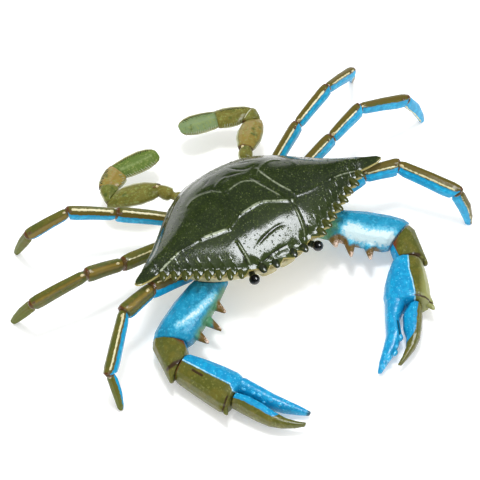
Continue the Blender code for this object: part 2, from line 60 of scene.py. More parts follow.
# %% One function for colours, one for nodes


def linear(hex_colour):
    """The linear RGBA of a colour written as #rrggbb."""
    channels = [int(hex_colour[k:k + 2], 16) / 255 for k in (1, 3, 5)]
    return (*[c / 12.92 if c <= 0.04045 else ((c + 0.055) / 1.055) ** 2.4 for c in channels], 1)


def add(tree, kind, inputs=None, **settings):
    """Add a node; inputs are sockets to link or values to set, by socket name or number."""
    node = tree.nodes.new(kind)
    for label, value in settings.items():
        setattr(node, label, value)
    for label, value in (inputs or {}).items():
        if isinstance(value, bpy.types.NodeSocket):
            tree.links.new(value, node.inputs[label])
        else:
            node.inputs[label].default_value = value
    return node


def per_mm(size):
    """The scale of a noise or Voronoi texture whose cells are this many millimetres wide."""
    return 1 / (size * MM)


# %% [markdown]
# ## Paint in layers
# A hand-painted figure is sprayed or brushed one colour over another. Each finish below is a first
# colour and a list of layers. A layer shows where some value on the surface, such as the distance from
# a masked edge, passes from one number to another. A value is either the name of an attribute that the
# mesh carries, or a function that adds its nodes.
#
# The varnish is a clear coat. It is the same all over a piece, so its numbers sit on the shader's own
# sockets: a low specular level keeps the paint under it matt, and the coat gives the sharp glints.

# %% Layers, and the varnish over them
VARNISH = {"Roughness": 0.5, "IOR": 1.5, "Specular IOR Level": 0.15, "Coat Weight": 0.6,
           "Coat Roughness": 0.18, "Coat IOR": 1.5}
THICK_VARNISH = {**VARNISH, "Coat Weight": 1, "Coat Roughness": 0.1}


def socket(tree, value):
    """Where a value comes from: an attribute by its name, or the nodes that a function adds."""
    if isinstance(value, str):
        return add(tree, "ShaderNodeAttribute", attribute_name=value).outputs["Fac"]
    return value(tree)


def mottle(size, detail=3, seed=0, raised=0):
    """Soft cloudy variation with blots this many millimetres wide, raised by a number."""
    def nodes(tree):
        place = add(tree, "ShaderNodeTexCoord").outputs["Object"]
        cloud = add(tree, "ShaderNodeTexNoise",
                    {"Vector": place, "W": seed, "Scale": per_mm(size), "Detail": detail, "Roughness": 0.6},
                    noise_dimensions="4D").outputs["Fac"]
        return add(tree, "ShaderNodeMath", {0: cloud, 1: raised}).outputs[0]
    return nodes


def wavy(value, size, reach, seed):
    """A distance whose zero line wanders by up to about this reach, as a brushed edge does."""
    return lambda tree: add(tree, "ShaderNodeMath", {0: socket(tree, mottle(size, 2, seed, -0.5)),
                                                     1: 2 * reach, 2: socket(tree, value)},
                            operation="MULTIPLY_ADD").outputs[0]


def both(first, second):
    """High only where both values are: the two multiplied."""
    return lambda tree: add(tree, "ShaderNodeMath", {0: socket(tree, first), 1: socket(tree, second)},
                            operation="MULTIPLY").outputs[0]


def finish(name, first, layers, bumps, varnish=VARNISH):
    """A painted, varnished material. A layer is a value, where it starts and ends to show, and a colour.
    A bump is a pattern's size and its height, in millimetres."""
    material = bpy.data.materials.new(name)
    material.use_nodes = True
    tree = material.node_tree
    shader = tree.nodes["Principled BSDF"]
    for label, value in varnish.items():
        shader.inputs[label].default_value = value
    colour = linear(first)
    for value, start, end, top in layers:
        mask = add(tree, "ShaderNodeMapRange", {0: socket(tree, value), 1: start, 2: end},
                   interpolation_type="SMOOTHSTEP").outputs[0]
        colour = add(tree, "ShaderNodeMix", {0: mask, 6: colour, 7: linear(top)}, data_type="RGBA").outputs[2]
    tree.links.new(colour, shader.inputs["Base Color"])
    relief = {}
    for size, height in bumps:
        relief |= {"Height": socket(tree, mottle(size, 2, 5)), "Distance": height * MM, "Strength": 1}
        relief["Normal"] = add(tree, "ShaderNodeBump", relief).outputs[0]
    for label in ("Normal", "Coat Normal"):
        tree.links.new(relief["Normal"], shader.inputs[label])
    print("material", name, "in", len(layers) + 1, "coats")
    return material


# %% [markdown]
# ## From a faceted solid to a moulded skin
# The solids have flat facets. Vinyl comes out of its mould with soft edges, so each solid is copied,
# welded, remeshed to small even faces and smoothed. Plain smoothing would shrink it like melting wax, so
# each inward step is followed by a slightly larger outward one, which only takes away the facets.

# %% Soft skins from the solids


def welded(node):
    """A solid in millimetres, as an editable mesh whose triangles share their corners."""
    bm = bmesh.new()
    bm.from_mesh(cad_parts[node].data)
    bmesh.ops.remove_doubles(bm, verts=bm.verts, dist=1e-6)
    bmesh.ops.scale(bm, vec=(1 / MM,) * 3, verts=bm.verts)
    return bm


def numbers(items, label, width, kind=float):
    """One value of every vertex or edge of a mesh, as an array."""
    flat = np.empty(len(items) * width, dtype=kind)
    items.foreach_get(label, flat)
    return flat.reshape(-1, width)


def soften(points, edges, rounds):
    """Smooth without shrinking: step towards the mean of the neighbours, then further back."""
    a, b = edges.T
    share = np.bincount(edges.ravel(), minlength=len(points))[:, None]
    for step in (0.5, -0.52) * rounds:
        total = [np.bincount(a, points[b, k], len(points)) + np.bincount(b, points[a, k], len(points))
                 for k in range(3)]
        points = points + step * (np.stack(total, axis=1) / share - points)
    return points


def placed(name, data):
    """A new object in the scene."""
    item = bpy.data.objects.new(name, data)
    bpy.context.scene.collection.objects.link(item)
    return item


def made(item):
    """The plain mesh that an object's modifiers make; the object itself goes."""
    graph = bpy.context.evaluated_depsgraph_get()
    mesh = bpy.data.meshes.new_from_object(item.evaluated_get(graph))
    bpy.data.objects.remove(item)
    return mesh


def skin(node, voxel, rounds):
    """A fine mesh over a solid, in millimetres, and its points and normals as arrays."""
    bm = welded(node)
    rough = bpy.data.meshes.new(node)
    bm.to_mesh(rough)
    bm.free()
    item = placed(node + "_skin", rough)
    remesh = item.modifiers.new("even faces", "REMESH")
    remesh.mode = "VOXEL"
    remesh.voxel_size = voxel
    mesh = made(item)
    points = soften(numbers(mesh.vertices, "co", 3), numbers(mesh.edges, "vertices", 2, int), rounds)
    mesh.vertices.foreach_set("co", points.ravel())
    mesh.update()
    return mesh, points, numbers(mesh.vertices, "normal", 3)


def settle(mesh, points, name, material, slot, nodes, facts):
    """Store a finished mesh and its painting guides, and let it stand for its solids."""
    points = np.column_stack([points[:, :2], np.maximum(points[:, 2], 0)])
    mesh.vertices.foreach_set("co", (points * MM).ravel())
    for label, values in facts.items():
        attribute = mesh.attributes.new(label, "FLOAT", "POINT")
        attribute.data.foreach_set("value", np.broadcast_to(values, len(points)).astype(np.float32))
    mesh.update()
    mesh.materials.clear()
    mesh.materials.append(material)
    mesh.shade_smooth()
    piece = placed(name, mesh)
    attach(piece, "root")
    if nodes:
        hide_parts(*nodes)
    print(name, len(points), "points,", slot)


# %% [markdown]
# ## Where paint goes on a limb
# The painter held the figure by its rear and brushed it from the front, above and to the right. Stripes
# run along each limb, so any point on it is read as a distance along, and a distance across as seen from
# the painter's side. Across is positive towards the back, and a share of 1 or -1 is the limb's outline.

# %% A limb's own directions
UP = np.array((0, 0, 1))
PAINTER = np.array((-0.337, -0.512, 0.79))


def unit(vector):
    """The same direction with length 1."""
    return vector / np.linalg.norm(vector)


def bump(distance, width):
    """1 at no distance, falling to nothing over about twice the width."""
    return np.exp(-(distance / width) ** 2)


def fade(value, start, end):
    """0 at start and 1 at end, smoothly."""
    t = np.clip((value - start) / (end - start), 0, 1)
    return t * t * (3 - 2 * t)


def square_to(normal, along):
    """Three directions: along the surface, across it and out of it."""
    out = unit(np.array(normal))
    flat = unit(along - out * (along @ out))
    return flat, np.cross(out, flat), out


class Limb:
    """The skin of one slender solid, measured along and across."""

    def __init__(self, node, voxel, rounds, side, start=None, end=None, before=None):
        self.node = node
        self.mesh, self.points, self.normals = skin(node, voxel, rounds)
        self.seen = self.normals @ PAINTER
        if start is None:
            middle = self.points.mean(axis=0)
            way = np.linalg.svd(self.points - middle, full_matrices=False)[2][0]
            way = way * np.sign(way @ (middle - before))
            reach = (self.points - middle) @ way
            start, end = middle + way * reach.min(), middle + way * reach.max()
        self.start, self.end = start, end
        self.length, self.way = np.linalg.norm(end - start), unit(end - start)
        self.wide = unit(np.cross(self.way, PAINTER)) * -SIDES[side]
        self.steps, self.most, self.least = np.linspace(-4, self.length + 4, 40), np.ones(40), -np.ones(40)
        self.measure()
        for k, step in enumerate(self.steps):
            near = self.across[np.abs(self.along - step) < self.steps[1] - self.steps[0]]
            if len(near):
                self.most[k], self.least[k] = near.max(), near.min()
        self.measure()

    def measure(self):
        """Distances along and across, the share of the way to the outline, and the half width."""
        self.along = (self.points - self.start) @ self.way
        self.across = (self.points - self.start) @ self.wide
        most, least = self.edge(self.along, 1), self.edge(self.along, -1)
        self.share = (2 * self.across - most - least) / np.maximum(most - least, 0.2)
        self.half = (most - least) / 2

    def edge(self, along, outward):
        """Where the rear (1) or front (-1) outline runs at a distance along."""
        return np.interp(along, self.steps, self.most if outward > 0 else self.least)

    def between_ends(self, start, end):
        """0 near both ends and 1 between them."""
        return fade(self.along, start, end) * fade(self.length - self.along, start, end)

    def lengthen(self, by, over):
        """Draw both ends out, to close the seams."""
        longer = by * (fade(self.along, self.length - over, self.length) - fade(self.along, over, 0))
        self.points = self.points + longer[:, None] * self.way

    def settle(self, material, slot, facts):
        """Let the skin stand for its solid, and remember its shape for bead."""
        settle(self.mesh, self.points, self.node + "_moulding", material, slot, [self.node], facts)
        faces = [tuple(p.vertices) for p in self.mesh.polygons]
        self.tree = BVHTree.FromPolygons([tuple(p) for p in self.points], faces)

    def bead(self, places, along, across, sizes, tone, lean=None, sunk=0):
        """Add to the places one where a brush would touch the skin from the painter's side."""
        above = self.start + self.way * along + self.wide * across + PAINTER * 60
        spot, normal = self.tree.ray_cast(Vector(above), Vector(-PAINTER))[:2]
        if spot:
            directions = square_to(normal, self.way if lean is None else lean)
            places.append((spot - normal * sunk, directions, sizes, tone))


# %% [markdown]
# ## Beads, granules and bristles
# Small rounded forms repeat all over the crab: beads along the fingers, knobs and necks at the joints,
# granules on the shell, bristles round the paddles. One Geometry Nodes tree makes them all. It puts a
# small ball on each point of a mesh, turned and stretched by what the point carries, varies their size a
# little from a fixed seed, and ends as real geometry with its material.

# %% The bead tree
bead_tree = bpy.data.node_groups.new("beads_on_points", "GeometryNodeTree")
for label, kind, default in (("Geometry", "Geometry", None), ("Bead size", "Float", 1.0),
                             ("Size spread", "Float", 0.1), ("Roundness", "Int", 3), ("Seed", "Int", 1),
                             ("Material", "Material", None)):
    entry = bead_tree.interface.new_socket(label, in_out="INPUT", socket_type="NodeSocket" + kind)
    if default is not None:
        entry.default_value = default
bead_tree.interface.new_socket("Geometry", in_out="OUTPUT", socket_type="NodeSocketGeometry")
given = bead_tree.nodes.new("NodeGroupInput").outputs
least, most = [add(bead_tree, "ShaderNodeMath", {0: 1.0, 1: given["Size spread"]}, operation=way).outputs[0]
               for way in ("SUBTRACT", "ADD")]
chance = add(bead_tree, "FunctionNodeRandomValue", {2: least, 3: most, "Seed": given["Seed"]}).outputs[1]
size = add(bead_tree, "ShaderNodeMath", {0: chance, 1: given["Bead size"]}, operation="MULTIPLY").outputs[0]
stretch, turn = [add(bead_tree, "GeometryNodeInputNamedAttribute", {"Name": label},
                     data_type="FLOAT_VECTOR").outputs[0] for label in ("stretch", "turn")]
scale = add(bead_tree, "ShaderNodeVectorMath", {0: stretch, "Scale": size}, operation="SCALE").outputs[0]
rotation = add(bead_tree, "FunctionNodeEulerToRotation", {0: turn}).outputs[0]
ball = add(bead_tree, "GeometryNodeMeshIcoSphere",
           {"Radius": 1, "Subdivisions": given["Roundness"]}).outputs[0]
copies = add(bead_tree, "GeometryNodeInstanceOnPoints", {
    "Points": given["Geometry"], "Instance": ball, "Rotation": rotation, "Scale": scale}).outputs[0]
real = add(bead_tree, "GeometryNodeRealizeInstances", {0: copies}).outputs[0]
dressed = add(bead_tree, "GeometryNodeSetMaterial",
              {"Geometry": real, "Material": given["Material"]}).outputs[0]
add(bead_tree, "NodeGroupOutput", {0: dressed})
bead_inputs = {s.name: s.identifier for s in bead_tree.interface.items_tree if s.in_out == "INPUT"}
print("bead tree inputs:", list(bead_inputs))


def beads(name, places, material, slot, **inputs):
    """One piece of many beads; each place is a point, three directions, three half sizes and a tone."""
    spots, directions, sizes, tones = zip(*places)
    mesh = bpy.data.meshes.new(name)
    mesh.from_pydata([tuple(spot) for spot in spots], [], [])
    turns = [tuple(Matrix([unit(np.array(d)) for d in three]).transposed().to_euler())
             for three in directions]
    for label, values in (("turn", turns), ("stretch", sizes), ("tone", tones)):
        values = np.array(values, dtype=np.float32)
        kind, key = ("FLOAT", "value") if values.ndim == 1 else ("FLOAT_VECTOR", "vector")
        mesh.attributes.new(label, kind, "POINT").data.foreach_set(key, values.ravel())
    item = placed(name + "_points", mesh)
    nodes = item.modifiers.new("beads", "NODES")
    nodes.node_group = bead_tree
    for label, value in {**inputs, "Material": material}.items():
        nodes[bead_inputs[label]] = value
    solid = made(item)
    settle(solid, numbers(solid.vertices, "co", 3), name, material, slot, [], {})
    print(name, len(places), "beads,", len(solid.polygons), "faces")


# %% [markdown]
# ## Walking legs
# Each leg has four moulded lengths. The back and top are brushed olive and the front edge sky blue, with a
# cream line and a brown band between them on most. The cream line is a painted highlight along a ridge,
# partly also a pale line where olive and blue meet. Each leg was painted a little differently, so each
# length has its own numbers: where the blue starts, where the cream highlight runs and how wide it is, and
# where the brown band lies. All but the cream's width are shares from -1, the front outline, to 1.

# %% Leg paint
# brushed acrylic, two thin coats: brush marks and cloudy wear show the colour below
BROWN_BAND = wavy("brown_mm", 1.6, 0.5, 3)
WORN_BLUE = both(mottle(2, 3, 4), "blue_mask")
LEG_PAINT = ("#5d5a1c", [
    (mottle(3.2, 4, 5), 0.4, 0.66, "#4c551c"),
    (mottle(1, 3, 6), 0.55, 0.72, "#766d33"),
    (BROWN_BAND, -0.25, 0.4, "#5e5218"),
    (both("gold", BROWN_BAND), 0.1, 0.9, "#7d6a24"),
    (wavy("joint_mm", 0.9, 0.4, 7), 1, 0.3, "#5a3512"),
    (both("olive_tip", mottle(1.5, 3, 8)), 0.05, 0.6, "#5a6318"),
    (wavy("blue_mm", 1.5, 0.55, 1), -0.12, 0.18, "#0095c6"),
    (WORN_BLUE, 0.42, 0.66, "#16b0de"),
    (WORN_BLUE, 0.66, 0.85, "#62c4e6"),
    # the cream line is a painted highlight along the ridge, partly a pale line where olive and blue meet
    (wavy("cream_highlight_mm", 1.1, 0.45, 2), -0.05, 0.22, "#d3cca0"),
    ("beneath", 0.35, 0.9, "#7f9468")], [(1.5, 0.07), (0.4, 0.02)])
limb_vinyl = finish("brushed_olive_and_blue_varnished_vinyl", *LEG_PAINT)
# the tips of the right legs lost their varnish on the floor, so they don't shine
tip_vinyl = finish("worn_matt_olive_vinyl_leg_tips", *LEG_PAINT,
                   {**VARNISH, "Coat Weight": 0.1, "Specular IOR Level": 0.08})

# %% Leg stripes
LEG_PARTS = ("merus", "carpus", "propodus", "dactyl")
LEG_STRIPES = {    # blue from, cream highlight at, cream highlight half width in mm, brown from, brown to, golden
    ("right", 3): [(-0.3, 0.42, 0.45, 0.3, -0.35, 0.3), (-0.3, 0.42, 0.5, 0.3, -0.35, 0.3),
                   (-0.82, 0, 0, 0.05, -0.9, 1), (-2, 0, 0, 0, -0.8, 0.3)],
    ("right", 2): [(-2, 0.15, 0.3, 2, 2, 0), (-2, 0, 0, 0.5, -0.5, 1),
                   (-2, 0, 0, 0.4, -0.3, 0.8), (-2, 0, 0, 0.2, -0.3, 0.2)],
    ("right", 1): [(-0.25, 0.5, 0.3, 0.5, -0.3, 0.1), (-0.8, 0, 0, 0.4, -0.4, 1),
                   (-0.42, 0, 0.42, -0.1, -0.5, 0.1), (-0.6, 0, 0, 0.1, -0.4, 0.2)],
    ("left", 1): [(-0.1, 0.1, 0.35, 1, 0.2, 0), (-0.1, 0.1, 0.35, 1, 0.2, 0.2),
                  (-0.05, 0.12, 0.36, 0.9, 0.25, 0.1), (0.2, 0.3, 0.2, 1, 0.5, 0)],
    ("left", 2): [(-0.1, 0.08, 0.35, 1, 0.3, 0.3), (0, 0.12, 0.3, 1, 0.3, 0.3),
                  (-0.05, 0, 0, 0.9, 0.2, 0.3), (2, -0.85, 0.3, 2, 2, 0)],
    ("left", 3): [(-0.05, 0.12, 0.38, 1, 0.3, 0.2), (-0.05, 0.12, 0.38, 1, 0.3, 0.2),
                  (-0.1, 0.1, 0.3, 0.9, 0.2, 0.2), (-0.55, 0, 0, 0.8, 0, 0.6)]}


def leg_facts(limb, stripes, worn_tip):
    """The distances that the leg paint reads."""
    blue_from, cream_highlight_at, cream_highlight_half, brown_from, brown_to, gold = stripes
    blue = (blue_from - limb.share) * limb.half
    # cream: how far inside the painted highlight line a point lies
    cream = cream_highlight_half - np.abs(limb.share - cream_highlight_at) * limb.half if cream_highlight_half else -9
    brown = abs(brown_from - brown_to) / 2 - np.abs(limb.share - (brown_from + brown_to) / 2)
    ends = np.minimum(limb.along, limb.length - limb.along)
    return {"blue_mm": blue, "blue_mask": fade(blue, 0, 0.6), "cream_highlight_mm": cream - 2 * fade(ends, 1.8, 0.8),
            "brown_mm": brown * limb.half, "joint_mm": ends, "gold": gold,
            "beneath": fade(-limb.seen, 0.45, 0.85) * (not worn_tip),
            "olive_tip": (0.5 + 0.5 * fade(limb.along, 0, limb.length)) * worn_tip}


def shape_segment(limb, cream_highlight_at):
    """Raise a ridge under the painted cream highlight, sink a groove on each side of it, and draw in both
    ends.
    """
    lift = limb.between_ends(0.8, 2.8) * sum(
        height * bump((limb.share - cream_highlight_at - aside) * limb.half, width)
        for aside, height, width in ((0, 0.14, 0.5), (0.45, -0.12, 0.45), (-0.45, -0.14, 0.45)))
    out = limb.points - limb.start - np.outer(limb.along, limb.way)
    slices = [out[np.abs(limb.along - step) < 0.7] for step in limb.steps]
    middles = np.array([near.mean(axis=0) if len(near) else np.zeros(3) for near in slices])
    out = out - np.column_stack([np.interp(limb.along, limb.steps, line) for line in middles.T])
    pull = 0.15 * (1 - fade(limb.along, 0, 1.2)) + 0.12 * (1 - fade(limb.length - limb.along, 0, 1.2))
    limb.points = limb.points - out * pull[:, None] + limb.normals * lift[:, None]
    limb.lengthen(0.22, 2)
    limb.measure()


# %% Leg pieces
necks, knobs = [], []             # filled leg by leg, made at the end
thorax_middle = np.array(sum(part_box("thorax"), Vector()) / 2 / MM)


def joint_between(first, second):
    """A neck that fills the seam between two lengths, as a place for a bead."""
    along = unit(first.way + second.way)
    aside = np.cross(UP, along)
    thickness = second.most[12] - second.least[12]
    sizes = (1, thickness * 0.41, thickness * 0.43)
    return (first.end + second.start) / 2, (along, aside, np.cross(along, aside)), sizes, 0.2


for side in SIDES:
    for number in (1, 2, 3):
        before, last = thorax_middle, None
        for part, stripes in zip(LEG_PARTS, LEG_STRIPES[side, number]):
            limb = Limb(f"{side}_leg{number}_{part}", 0.26, 14, side, before=before)
            shape_segment(limb, stripes[1])
            worn_tip = part == "dactyl" and side == "right"
            limb.settle(tip_vinyl if worn_tip else limb_vinyl, "limb_olive",
                        leg_facts(limb, stripes, worn_tip))
            if last:
                necks.append(joint_between(last, limb))
            # a high tone gives a knob a painted cream glint
            for step, share, tone in ((1.5, 0.25, 0.9), (limb.length - 1.7, 0.1, 0.3)):
                if part != "dactyl" or tone > 0.5:
                    limb.bead(knobs, step, share * limb.edge(step, 1), (0.75, 0.5, 0.42), tone)
            before, last = limb.points.mean(axis=0), limb
print("walking legs done,", len(necks), "necks and", len(knobs), "knobs to come")

# %% [markdown]
# ## Carapace
# The shell is one broad dome with eight teeth and a long spine on each side. It is built as a row of
# closed sections from left to right. Where each section starts and ends, and how high it stands, are
# measured on the solid: its outline by crossing its edges, its height by dropping rays on a grid, which is
# then blurred to take out the facets.

# %% Measure the carapace
shell = welded("carapace")
shell_points = np.array([v.co[:] for v in shell.verts])
edge_starts, edge_ends = [shell_points[[e.verts[k].index for e in shell.edges]] for k in (0, 1)]
shell_tree = BVHTree.FromBMesh(shell)
shell.free()
SHELL_LOW, SHELL_HIGH = shell_points.min(axis=0), shell_points.max(axis=0)
MIDLINE = (SHELL_LOW[0] + SHELL_HIGH[0]) / 2
HALF_SPAN = (SHELL_HIGH[0] - SHELL_LOW[0]) / 2
REAR = SHELL_HIGH[1]
CELL = 0.5                        # grid step of the height maps, in millimetres
MAP_X = np.arange(SHELL_LOW[0], SHELL_HIGH[0] + CELL, CELL)
MAP_Y = np.arange(SHELL_LOW[1] - 1, SHELL_HIGH[1] + 1, CELL)


def outline_at(x):
    """Front and rear edge of the shell at one distance across."""
    crossing = (edge_starts[:, 0] - x) * (edge_ends[:, 0] - x) < 0
    a, b = edge_starts[crossing], edge_ends[crossing]
    y = a[:, 1] + (b[:, 1] - a[:, 1]) * (x - a[:, 0]) / (b[:, 0] - a[:, 0])
    return y.min(), y.max()


def blur(values, spread):
    """Gaussian blur of a height map, spread in cells, with its borders repeated."""
    reach = int(3 * spread)
    weights = bump(np.arange(-reach, reach + 1), spread * 1.414)
    weights /= weights.sum()
    for axis in (0, 1):
        wide = np.pad(values, [(reach, reach) if k == axis else (0, 0) for k in (0, 1)], mode="edge")
        values = sum(w * np.take(wide, range(k, k + values.shape[axis]), axis=axis)
                     for k, w in enumerate(weights))
    return values


def height_map(direction, spread):
    """Heights of the shell's upper (-1) or lower (+1) face on a grid."""
    heights = np.full((len(MAP_X), len(MAP_Y)), np.nan)
    for i, x in enumerate(MAP_X):
        for j, y in enumerate(MAP_Y):
            hit = shell_tree.ray_cast(Vector((x, y, -100 * direction)), Vector((0, 0, direction)))[0]
            if hit:
                heights[i, j] = hit.z
        known = np.isfinite(heights[i])
        heights[i] = np.interp(MAP_Y, MAP_Y[known], heights[i][known]) if known.any() else heights[i - 1]
    heights[0] = heights[1]
    return blur(heights, spread)


def sample(heights, x, y):
    """Read a height map between its grid points."""
    u = np.clip((x - MAP_X[0]) / CELL, 0, len(MAP_X) - 1.001)
    v = np.clip((y - MAP_Y[0]) / CELL, 0, len(MAP_Y) - 1.001)
    i, j = u.astype(int), v.astype(int)
    u, v = u - i, v - j
    return ((heights[i, j] * (1 - u) + heights[i + 1, j] * u) * (1 - v)
            + (heights[i, j + 1] * (1 - u) + heights[i + 1, j + 1] * u) * v)


upper_map = height_map(-1, 2.6)
dome_map = blur(upper_map, 6)   # smoother, for all but the rim and the spines
lower_map = height_map(1, 1.6)
print("carapace", round(2 * HALF_SPAN, 1), "mm across, rear edge at y =", round(REAR, 1))

# %% [markdown]
# ## The shell's relief
# The sculptor cut the crab's regions into the dome: a scalloped ridge that runs from spine to spine,
# lobes behind it, two short ridges towards the eyes and some leaf-shaped cuts. Each is a line of a few
# points, given as (millimetres aside from the middle, millimetres forward of the rear edge). A ridge is
# soft and has a height, a width and how strong a painted highlight its crest carries. A cut has sharp
# sides and is painted dark as painted shade.

# %% Relief lines
LINES = [                         # points, height, width, strength of the painted highlight on the crest
    ([(-7.4, 31.3), (0, 30.6), (3.4, 30.7), (7.3, 32.6), (13, 35)], 0.3, 0.6, 0.8),
    ([(16.5, 34.4), (23.2, 35), (32.2, 34.1)], 0.22, 0.5, 0.25),
    ([(32.2, 34.1), (36.4, 33.9), (44.3, 34.5)], 0.3, 0.45, 0.65),
    ([(-45.3, 34.3), (-39.4, 33.2), (-33.5, 32.1)], 0.3, 0.45, 1),
    ([(-33.5, 32.1), (-24.8, 32.2)], 0.2, 0.5, 0.3),
    ([(-24.8, 32.2), (-19.2, 33.1), (-13.6, 34)], 0.35, 0.7, 0.9),
    ([(-13.6, 34), (-10.5, 32.8), (-7.4, 31.3)], 0.2, 0.5, 0.2),
    ([(13.2, 37), (13, 40.2), (12.4, 44.5), (11.3, 48.3), (9.2, 52)], 0.3, 0.5, 0.6),
    ([(-13.4, 39.7), (-12.9, 45.7), (-12.2, 50.8)], 0.3, 0.5, 0.7),
    ([(4.8, 19.5), (8, 26.3), (11.3, 33)], 0.22, 0.6, 0.62),
    ([(10, 16.5), (11.7, 25.8), (16, 33.2)], 0.26, 0.6, 0.68),
    ([(-4.8, 19.5), (-8, 26.3), (-11.3, 32)], 0.16, 0.6, 0.15),
    ([(-10, 16.5), (-11.7, 25.8), (-15.6, 32.2)], 0.16, 0.6, 0.15),
    ([(-6.1, 20.4), (-1.5, 19.3), (2.9, 19.1), (7.2, 23)], 0.24, 0.6, 0.6),
    ([(-6.1, 20.4), (-9.5, 16.7), (-14, 15.2), (-18, 14.8), (-20.4, 16.5)], 0.24, 0.6, 0.55),
    ([(7.2, 20.8), (9.9, 17.5), (14, 15.4), (18, 14.8), (20.4, 16.5)], 0.22, 0.6, 0.45),
    ([(-7.9, 15.7), (-4.8, 13.7), (-1.9, 13.4)], 0.18, 0.5, 0.3),
    ([(-23.5, 17.6), (-24.6, 22), (-23, 25.6)], 0.16, 0.8, 0.1),
    ([(23.5, 17.6), (24.6, 22), (23, 25.6)], 0.16, 0.8, 0.1)]
CUTS = [                          # points, depth, width
    ([(-8.1, 43.6), (-2.2, 41.7), (3.9, 40.7), (7.8, 41.9)], 0.55, 0.62),
    ([(-10.4, 48.4), (-6.1, 48), (0.3, 47.1), (6.2, 47.9)], 0.35, 0.42),
    ([(-17.3, 46.9), (-15.5, 48.1)], 0.6, 0.5),
    ([(-14.4, 40.5), (-13.9, 46), (-13.2, 50.6)], 0.22, 0.5),
    ([(14.3, 38.6), (14.2, 44.5), (12.8, 49)], 0.16, 0.5),
    ([(2.1, 7.8), (4, 12), (6.4, 14.2), (10.2, 14.2)], 0.38, 0.5),
    ([(-2.4, 12.7), (2, 13.6), (5.5, 15.5)], 0.34, 0.45),
    ([(5.4, 7), (9.2, 10.2), (13, 12.6)], 0.34, 0.5),
    ([(-2.1, 7.8), (-4.6, 7.6)], 0.34, 0.5),
    ([(-5.4, 9), (-9.2, 11.2), (-13, 12.6)], 0.26, 0.5)]
SWELLS = [((0, 26), 0.5, 6.5), ((4.5, 17), 0.4, 3.4), ((16, 24), 0.6, 5.5), ((27, 27), 0.4, 7),
          ((12, 12.5), 0.4, 3.6), ((6.5, 38), 0.3, 5)]    # middle, height, radius, on both sides
HOLLOW = ([(8, 20.2), (9.4, 26), (12.6, 31)], 0.3, 1.4)     # on both sides
BOSS = (13.6, 35.6)               # on the left, where the ridge meets the one to the eye
print("relief:", len(LINES), "ridges,", len(CUTS), "cuts and", len(SWELLS), "pairs of swellings")


def from_line(aside, forward, line):
    """Distance from each place to a line of points."""
    nearest = np.full(aside.shape, 1e9)
    for (ax, ay), (bx, by) in zip(line, line[1:]):
        run = (bx - ax) ** 2 + (by - ay) ** 2
        t = np.clip(((aside - ax) * (bx - ax) + (forward - ay) * (by - ay)) / run, 0, 1)
        nearest = np.minimum(nearest, np.hypot(aside - ax - t * (bx - ax), forward - ay - t * (by - ay)))
    return nearest


def from_points(aside, forward, places):
    """Distance from each place to the nearest of a few points."""
    return np.min([np.hypot(aside - a, forward - b) for a, b in places], axis=0)


def curved(line):
    """The same line with its corners cut off, twice."""
    line = np.array(line)
    for _ in range(2):
        a, b = line[:-1], line[1:]
        cut = np.stack([0.75 * a + 0.25 * b, 0.25 * a + 0.75 * b], axis=1)
        line = np.concatenate([line[:1], cut.reshape(-1, 2), line[-1:]])
    return line


def relief(aside, forward):
    """Height of the carved detail, the painted highlight on its crests, and the painted shade in its cuts."""
    lift, pale, dark = np.zeros((3, *aside.shape))
    for points, height, width, crest_highlight in LINES:
        near = bump(from_line(aside, forward, curved(points)), width)
        lift += height * near
        ends = from_points(aside, forward, (points[0], points[-1]))
        # the crest's painted highlight, weaker towards the line's ends
        pale = np.maximum(pale, crest_highlight * near * (0.35 + 0.65 * fade(ends, 0, 2.5)))
    # each cut sinks the surface and is painted dark there, as painted shade
    for points, depth, width in CUTS:
        ends = from_points(aside, forward, (points[0], points[-1]))
        near = np.exp(-from_line(aside, forward, curved(points)) / width) * (0.3 + 0.7 * fade(ends, 0, 4))
        lift -= depth * near
        dark = np.maximum(dark, near)
    for (middle, ahead), height, radius in SWELLS:
        lift += height * bump(np.hypot(np.abs(aside) - middle, forward - ahead), radius)
    lift -= HOLLOW[1] * bump(from_line(np.abs(aside), forward, HOLLOW[0]), HOLLOW[2])
    boss = bump(from_points(aside, forward, [BOSS]), 0.9)
    return lift + 0.5 * boss, np.maximum(pale, 0.8 * boss), dark


# %% [markdown]
# ## The shell's rim and its skin
# Teeth are little ribs: high along the middle of each tooth and low between two of them. How far the
# front edge stands out at each place across says which of the two it is.

# %% Build the shell's skin
COLUMNS, TOP_ROWS, UNDER_ROWS = 460, 150, 36
EDGE_ROUND = 0.8                  # millimetres over which the rim rounds off
SPINE_LENGTH = 8.5                # the spines have no teeth
TOOTH_HEIGHT = 2.4                # how far a tooth that counts in full stands out
VALLEY_REACH = 1.7                # how far aside of a tooth the valley next to it may lie
MEAN_OVER = 31                    # sections in the running mean that takes the teeth off the front edge
across_x = MIDLINE + (HALF_SPAN - 0.03) * np.linspace(-1, 1, COLUMNS)
front_y, rear_y = np.array([outline_at(x) for x in across_x]).T
padded = np.pad(front_y, MEAN_OVER // 2, mode="edge")
smooth_front = np.convolve(padded, np.full(MEAN_OVER, 1 / MEAN_OVER), mode="valid")
window = int(VALLEY_REACH / (across_x[1] - across_x[0]))
valley_y = np.array([front_y[max(0, k - window):k + window + 1].max() for k in range(COLUMNS)])
tooth = np.clip((valley_y - front_y) / TOOTH_HEIGHT, 0, 1)
tooth = np.where(np.abs(across_x - MIDLINE) > HALF_SPAN - SPINE_LENGTH, 0.5, tooth)[:, None]


